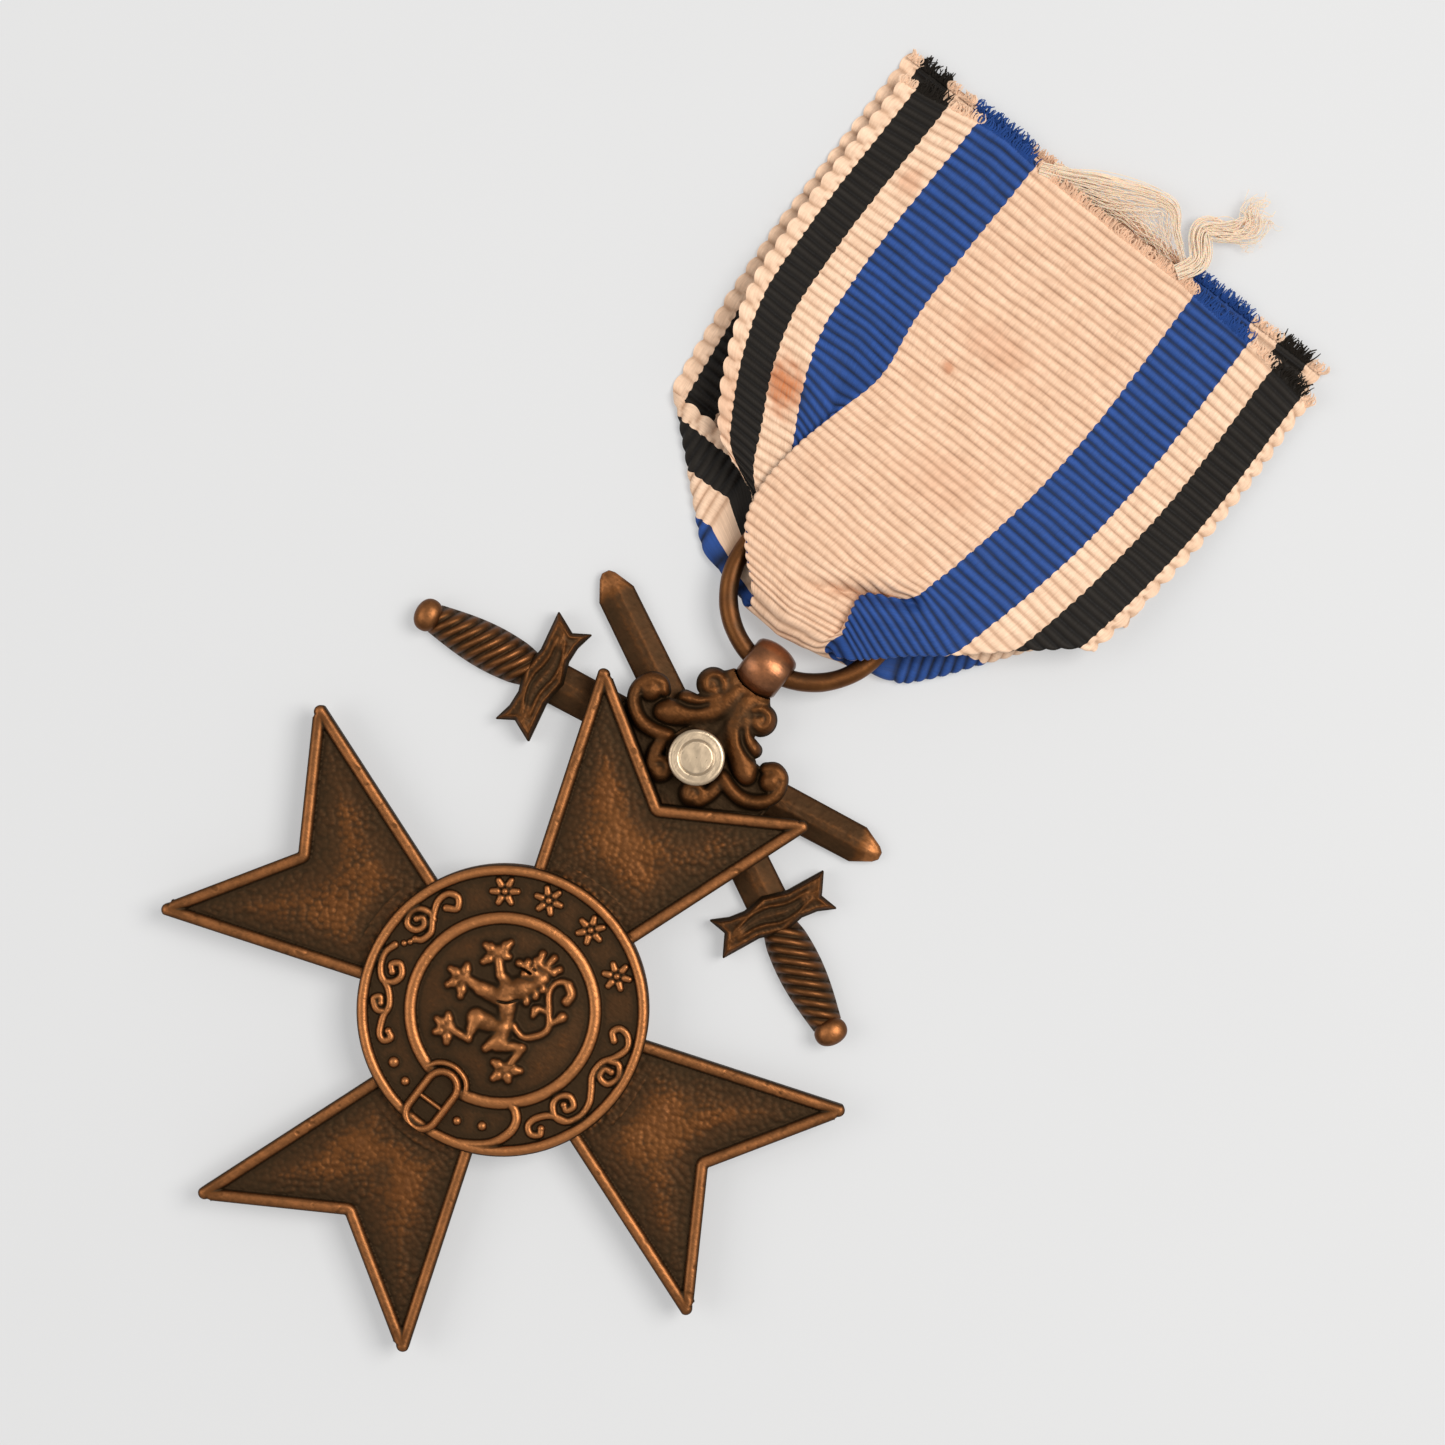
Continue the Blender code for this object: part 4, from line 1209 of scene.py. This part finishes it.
# The stains: place on the strip, half-size each way, strength and seed
STAINS = (
    ((-12.4, 20.6), (1.5, 1.9), 1.0, 94),
    ((-12.2, 5.4), (0.9, 1.1), 0.38, 95),
    ((-3.1, 13.0), (0.5, 0.6), 0.6, 96),
    ((-1.2, 10.2), (3.4, 1.5), 0.22, 97),
    ((1.8, 19.0), (3.4, 2.4), 0.16, 98),
    ((-15.9, 24.0), (0.8, 4.0), 0.25, 99),
)


def spot(u, v, centre, size, amount, seed):
    """A stain about centre, uneven at its edge."""
    away = np.hypot((u - centre[0]) / size[0], (v - centre[1]) / size[1])
    ragged = away + uneven(u, v, 0.5, seed, 0.5) + uneven(u, v, 0.17, seed + 1, 0.25)
    return amount * smooth_step(1.25 - ragged)


def build_ribbon():
    """The whole strip as one sheet, with its ribs and beaded edges."""
    u = np.linspace(-HALF_WIDTH, HALF_WIDTH, 262)
    v = np.linspace(0, STRIP, 742)
    front = creased(front_leaf(u, v[v < LOOP_FRONT]))
    back = back_leaf(u, v[v > LOOP_BACK])
    turn = loop_turn(u, front[-1], back[0], v[(v >= LOOP_FRONT) & (v <= LOOP_BACK)])
    points = smoothed_rows(np.concatenate([front, turn, back]), 14)
    grid_u, grid_v = np.meshgrid(u, v)
    wave = uneven(grid_u + 40, grid_v, 5.0, 91, 0.10) + uneven(grid_u + 40, grid_v, 1.6, 92, 0.07)
    normal = sheet_normals(points)
    drift = uneven(grid_u + 60, grid_v, 8.0, 93, 0.30) + uneven(grid_u, grid_v, 1.4, 90, 0.09)
    rib = (0.5 - 0.5 * np.cos(2 * math.pi * (grid_v + drift) / RIB)) ** 0.45
    edge = smooth_step((np.abs(grid_u) - 15.6) / 0.5)
    bead = np.abs(np.sin(math.pi * grid_v / BEAD)) ** 0.7
    height = 0.15 * rib * (1 - edge) + 0.24 * bead * edge
    points = points + normal * (height - 0.07 + wave)[..., None]
    outward = np.gradient(points, axis=1)
    outward /= np.maximum(np.linalg.norm(outward, axis=-1, keepdims=True), 1e-9)
    scallop = 0.26 * (bead - 0.6) * smooth_step((np.abs(grid_u) - 15.9) / 0.7) * np.sign(grid_u)
    points = points + outward * scallop[..., None]
    index = np.arange(points[..., 0].size).reshape(points.shape[:2])
    faces = np.stack([index[:-1, :-1], index[:-1, 1:], index[1:, 1:], index[1:, :-1]], -1).reshape(-1, 4)
    obj = from_parts("ribbon_strip", [(points.reshape(-1, 3), faces[:, ::-1], 0.5)], 180)
    stain = sum(spot(grid_u, grid_v, *blot) for blot in STAINS)
    ridges = rib * (1 - edge) + bead * edge
    put_fields(obj.data, {"across": grid_u, "along": grid_v, "rib": ridges, "stain": stain})
    return obj


def tube(points, radius, sides=4):
    """Rings round a line of points, thinner at its free end."""
    points = np.array(points, float)
    ahead = np.gradient(points, axis=0)
    ahead /= np.maximum(np.linalg.norm(ahead, axis=1, keepdims=True), 1e-9)
    across = np.cross(ahead, [0.05, 0.02, 1.0])
    across /= np.maximum(np.linalg.norm(across, axis=1, keepdims=True), 1e-9)
    up = np.cross(across, ahead)
    turn = np.linspace(0, 2 * math.pi, sides, endpoint=False)
    thin = radius * (1 - 0.55 * np.linspace(0, 1, len(points)) ** 2)[:, None, None]
    spokes = across[:, None] * np.cos(turn)[:, None] + up[:, None] * np.sin(turn)[:, None]
    return points[:, None] + thin * spokes


def threads_object(name, threads):
    """One object from threads of (points, radius, place across the strip)."""
    parts, place = [], []
    for points, radius, u in threads:
        rings = tube(points, radius)
        parts.append((*skin(rings), 0.5))
        place.append(np.full(rings.shape[0] * rings.shape[1], u))
    obj = from_parts(name, parts, 80)
    place = np.concatenate(place)
    # In the silk, rib 1 reads as a rib's top: no painted shade from the hollows, and the crests' painted
    # highlight on blue and black threads
    flat = {"rib": np.ones(place.shape), "stain": np.zeros(place.shape)}
    put_fields(obj.data, {"across": place, "along": 3 * place, **flat})
    return obj


def build_fringe():
    """The short threads that stand out of both cut ends; the black ones fray most."""
    rng = np.random.default_rng(17)
    threads = []
    for leaf, v, reach in ((front_leaf, 0.0, 0.8), (back_leaf, STRIP, 0.7)):
        us = np.sort(rng.uniform(-HALF_WIDTH, HALF_WIDTH, 620))
        ends = leaf(us, np.array([v]))[0]
        for u, end in zip(us, ends):
            side = abs(u)
            black, blue = STRIPES[2] < side < STRIPES[3], STRIPES[0] < side < STRIPES[1]
            length = reach * rng.uniform(0.35, 1.0) * (1.0 if black else 0.75 if blue else 0.5)
            corner = smooth_step((u - 12.5) / 2.5) if leaf is front_leaf else smooth_step((u - 14) / 2)
            lean = rng.normal(0, 0.22) + 0.55 * corner
            rise = rng.uniform(-0.10, 0.35) * (1 + corner)
            start = end + np.array([0, -0.35, 0.02])
            t = np.linspace(0, 1, 6)[:, None]
            bend = np.sin(3 * t) * np.array([rng.normal(0, 0.18), 0, 0.08])
            path = start + t * np.array([lean * length, length + 0.35, rise]) + bend
            path[:, 2] = np.maximum(path[:, 2], 0.08)
            threads.append((path, rng.uniform(0.045, 0.08), u))
    return threads_object("ribbon_fringe", threads)


def strand(rng, line, fibres, spread, radius, frizz):
    """Fibres that run together along a line; spread gives their reach from it at evenly spaced places."""
    line = np.array(line, float)
    steps = 46
    at = np.linspace(0, 1, steps)
    knots = np.linspace(0, 1, len(line))
    middle = along_knots(line, knots, at)
    ahead = np.gradient(middle, axis=0)
    ahead /= np.linalg.norm(ahead, axis=1, keepdims=True)
    beside = np.stack([-ahead[:, 1], ahead[:, 0], 0 * at], 1)
    width = np.interp(at, np.linspace(0, 1, len(spread)), spread)
    found = []
    for _ in range(fibres):
        lane, level, phase = rng.uniform(-1, 1), rng.uniform(-1, 1), rng.uniform(0, 6.3)
        swing = lane + 0.35 * np.sin(phase + 7 * at) + frizz * np.sin(2.3 * phase + 31 * at) * at**2
        path = middle + beside * (width * swing)[:, None]
        path[:, 2] += 0.35 * width * (level + 0.5 * np.sin(phase + 9 * at))
        path[:, 2] = np.maximum(path[:, 2], 0.08)
        found.append((path[: int(steps * rng.uniform(0.82, 1.0))], radius * rng.uniform(0.7, 1.2), 0.0))
    return found


def build_loose_threads():
    """The weft that has come loose from the cream: bowed strands, and a long wavy one with a soft end."""
    rng = np.random.default_rng(29)
    bow = [(-5.6, 62.9, 1.0), (-3.9, 63.6, 1.0), (-2.0, 64.6, 0.9), (0.2, 65.6, 0.9), (2.0, 66.1, 0.9)]
    bow += [(2.9, 65.9, 0.9), (3.7, 65.0, 0.9), (4.9, 64.0, 1.0), (6.1, 63.1, 1.0)]
    threads = strand(rng, bow, 34, (0.35, 0.55, 0.40, 0.22, 0.30), 0.034, 0.1)
    inner = [(-4.4, 63.0, 0.8), (-1.5, 63.9, 0.8), (1.0, 65.0, 0.8), (2.3, 65.5, 0.8)]
    inner += [(3.3, 64.6, 0.8), (4.6, 63.4, 0.8)]
    threads += strand(rng, inner, 26, (0.5, 0.75, 0.65, 0.5, 0.5), 0.026, 0.3)
    low = [(-5.0, 63.3, 0.6), (-2.0, 63.8, 0.6), (1.5, 64.2, 0.6), (5.2, 63.5, 0.6)]
    threads += strand(rng, low, 40, (0.45, 0.6, 0.6, 0.5), 0.030, 0.4)
    tail = [(5.3, 62.9, 1.1), (5.9, 63.9, 1.0), (5.9, 64.7, 0.9), (5.1, 65.7, 0.9), (5.1, 66.3, 0.9)]
    tail += [(6.0, 66.9, 0.9), (6.9, 67.6, 0.8), (7.2, 68.5, 0.8), (7.1, 69.3, 0.7), (7.6, 70.3, 0.6)]
    threads += strand(rng, tail, 60, (0.42, 0.52, 0.58, 0.66, 0.70, 0.95, 1.35), 0.044, 0.35)
    fluff = [(5.9, 66.8, 0.8), (6.8, 67.3, 0.7), (7.7, 67.3, 0.6), (8.5, 67.0, 0.5)]
    threads += strand(rng, fluff, 12, (0.3, 0.4, 0.5, 0.6), 0.018, 0.5)
    return threads_object("ribbon_loose_threads", threads)


CREAM = (0.775, 0.540, 0.385)
WHITE = (0.81, 0.59, 0.43)
BLUE = (0.014, 0.054, 0.225)
BLACK = (0.008, 0.006, 0.004)
FLOSS = (0.93, 0.71, 0.54)
RUST = (0.62, 0.27, 0.11, 1)
RAMP_REACH = 20.0  # the distance from the middle of the strip that the colour ramp covers
# Painted shade in the rib hollows and a slight painted highlight on their tops: how much light each level
# of a field lets through, from its hollows to its tops
RIB_SHADE = [(0.0, (0.34, 0.24, 0.18)), (0.35, (0.72, 0.65, 0.60)), (0.62, (0.95, 0.94, 0.93))]
RIB_SHADE += [(1.0, (1.06, 1.06, 1.06))]
# More painted shade in the hollows and a painted highlight on the crests of the blue and black stripes,
# over RIB_SHADE
DARK_STRIPE_SHADE_AND_HIGHLIGHT = [(0.1, (0.50, 0.50, 0.55)), (0.5, (0.80, 0.80, 0.82)), (0.95, (1.45, 1.42, 1.38))]
CORD_SHADE = [(0.3, (0.90, 0.87, 0.84)), (0.7, (1.08, 1.08, 1.08))]
STREAK_SHADE = [(0.25, (0.76, 0.74, 0.72)), (0.75, (1.14, 1.14, 1.14))]
SOIL_SHADE = [(0.30, (0.93, 0.88, 0.84)), (0.70, (1.03, 1.02, 1.02))]


def floss(name):
    """The loose weft's pale silk, fine and a little shiny."""
    n = Nodes(name)
    fine = n.noise(n.place(), 2600, 3, 0.6)
    colour = n.ramp(fine, [(0.2, tuple(0.86 * c for c in FLOSS)), (0.8, FLOSS)])
    roughness = n.scaled(fine, 0.3, 0.4)
    return n.finish(Base_Color=colour, Roughness=roughness, Subsurface_Weight=0.25, Subsurface_Scale=0.0004)


def silk(name):
    """Ribbed silk in stripes: threads lie along the strip over thick ribs that cross it."""
    n = Nodes(name)
    across, along, rib = n.attribute("across"), n.attribute("along"), n.attribute("rib")
    threads = n.noise(n.on_strip(across, along, 9.0, 1.1), 1.0, 3, 0.6)
    unrolled = n.add("CombineXYZ", {"X": across, "Y": along}).outputs[0]
    cloud = n.noise(unrolled, 0.55, 4, 0.6)
    ragged = n.maths("MULTIPLY", n.maths("SUBTRACT", rib, 0.5), 0.11)
    waver = n.maths("MULTIPLY", n.maths("SUBTRACT", threads, 0.5), 0.16)
    place = n.maths("ADD", n.maths("ABSOLUTE", across), n.maths("ADD", ragged, waver))
    stripe_place = n.maths("DIVIDE", place, RAMP_REACH)
    edges = [0.0] + [edge / RAMP_REACH for edge in STRIPES]
    base = n.ramp(stripe_place, list(zip(edges, (CREAM, BLUE, WHITE, BLACK, WHITE))), "CONSTANT")
    # Painted shade from RIB_SHADE: full on the blue and black stripes, weaker on the cream and white ones
    pale, full = (0.74, 0.74, 0.74), (1.0, 1.0, 1.0)
    depth = n.ramp(stripe_place, list(zip(edges, (pale, full, pale, full, pale))), "CONSTANT")
    shaded = n.mix(depth, base, n.ramp(rib, RIB_SHADE), "MULTIPLY")
    # The blue and black stripes get more painted shade in their hollows and a painted highlight on their
    # crests
    dark_stripe_shading = n.maths("MULTIPLY", n.maths("GREATER_THAN", depth, 0.9), 0.55)
    shaded = n.mix(dark_stripe_shading, shaded, n.ramp(rib, DARK_STRIPE_SHADE_AND_HIGHLIGHT), "MULTIPLY")
    cords = n.ramp(n.noise(n.on_strip(across, along, 0.4, 1.6), 1.0, 3, 0.7), CORD_SHADE)
    shaded = n.mix(0.9, shaded, cords, "MULTIPLY")
    streaked = n.mix(0.8, shaded, n.ramp(threads, STREAK_SHADE), "MULTIPLY")
    soiled = n.mix(0.9, streaked, n.ramp(cloud, SOIL_SHADE), "MULTIPLY")
    rust = n.maths("MULTIPLY", n.attribute("stain"), n.scaled(threads, 0.7), clamp=True)
    stained = n.mix(rust, soiled, RUST, "MULTIPLY")
    return n.finish(
        Base_Color=stained,
        Roughness=n.scaled(threads, 0.25),
        Sheen_Weight=0.06,
        Sheen_Roughness=0.4,
        Specular_IOR_Level=0.22,
        Normal=n.bump(threads, 0.55, 0.00006),
    )


# ---------------------------------------------------------------- looking


# The stage, in metres and degrees
FLOOR_HALF = 1.2
MIDDLE = (0.0, 0.02, 0.0)
CAMERA_PLACE, CAMERA_TURN = (-0.0001, 0.0228, 0.2554), 37.6
CAMERA_LENS, SENSOR_WIDTH = 100, 36
LAMP_COLOUR = (1.0, 0.97, 0.93)
# Each lamp's place, width and power
LAMPS = {"key": ((0.16, 0.22, 0.42), 0.26, 2.0), "fill": ((-0.30, -0.20, 0.36), 0.34, 0.8)}
PAPER_SHADES = [(0.2, (0.338, 0.343, 0.350)), (0.8, (0.348, 0.353, 0.360))]


def paper(name):
    """The pale sheet under the medal. A little glow keeps it evenly bright."""
    n = Nodes(name)
    colour = n.ramp(n.noise(n.place(), 30, 2, 0.5), PAPER_SHADES)
    return n.finish(Base_Color=colour, Roughness=0.9, Emission_Color=(1, 1, 1, 1), Emission_Strength=0.33)


def stage_and_light():
    mesh = bpy.data.meshes.new("floor")
    h = FLOOR_HALF
    mesh.from_pydata([(-h, -h, 0), (h, -h, 0), (h, h, 0), (-h, h, 0)], [], [(0, 1, 2, 3)])
    floor = bpy.data.objects.new("floor", mesh)
    floor.location = (MIDDLE[0], MIDDLE[1], -0.0001)
    bpy.context.scene.collection.objects.link(floor)
    mesh.materials.append(paper("paper"))
    world = bpy.data.worlds.new("studio")
    bpy.context.scene.world = world
    world.use_nodes = True
    sky = world.node_tree.nodes["Background"]
    sky.inputs["Color"].default_value = (1.0, 1.0, 1.0, 1)
    sky.inputs["Strength"].default_value = 0.50
    for name, (place, size, power) in LAMPS.items():
        data = bpy.data.lights.new(name, "AREA")
        data.size = size
        data.energy = power
        data.color = LAMP_COLOUR
        lamp = bpy.data.objects.new(name, data)
        lamp.location = place
        aim = Vector(MIDDLE) - Vector(place)
        lamp.rotation_euler = aim.to_track_quat("-Z", "Y").to_euler()
        bpy.context.scene.collection.objects.link(lamp)


def look():
    data = bpy.data.cameras.new("camera")
    data.lens = CAMERA_LENS
    data.sensor_width = SENSOR_WIDTH
    camera = bpy.data.objects.new("camera", data)
    camera.location = CAMERA_PLACE
    camera.rotation_euler = (0, 0, math.radians(CAMERA_TURN))
    bpy.context.scene.collection.objects.link(camera)
    bpy.context.scene.camera = camera
    bpy.context.scene.view_settings.view_transform = "Standard"


# The pieces. The sheet bends over a short way between its gather and its leaves.
patina = bronze("patinated_bronze")
dress(build_cross(), patina, "medal", "cross")
dress(build_obverse(), patina, "medal", "obverse_medallion")
dress(build_reverse(), patina, "medal", "reverse_medallion")
for sword_name in SWORD_ANGLES:
    dress(build_sword(sword_name), patina, "swords", sword_name)
dress(build_bracket(), patina, "medal", "suspension_bracket")
rubbed = bronze("rubbed_bronze", lift=0.16, bright=(0.48, 0.19, 0.070), smooth=0.16, coat=0.45)
dress(build_ball(), rubbed, "medal", "suspension_ball")
wire = bronze("wire_bronze", lift=0.09, bright=(0.44, 0.18, 0.050), smooth=0.06, coat=0.06)
dress(build_ring(), wire, "ring", "suspension_ring")
dress(build_rivet(), silver("worn_silver"), "medal", "rivet")
ribbon = build_ribbon()
cloth = silk("ribbed_silk")
ribbon.data.materials.append(cloth)
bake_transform(ribbon)
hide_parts("ribbon_gather", "ribbon_front_leaf", "ribbon_back_leaf")
frayed = [build_fringe(), build_loose_threads()]
for piece, look_of in zip(frayed, (cloth, floss("silk_floss"))):
    piece.data.materials.append(look_of)
    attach(piece, "leaves")
stage_and_light()
look()
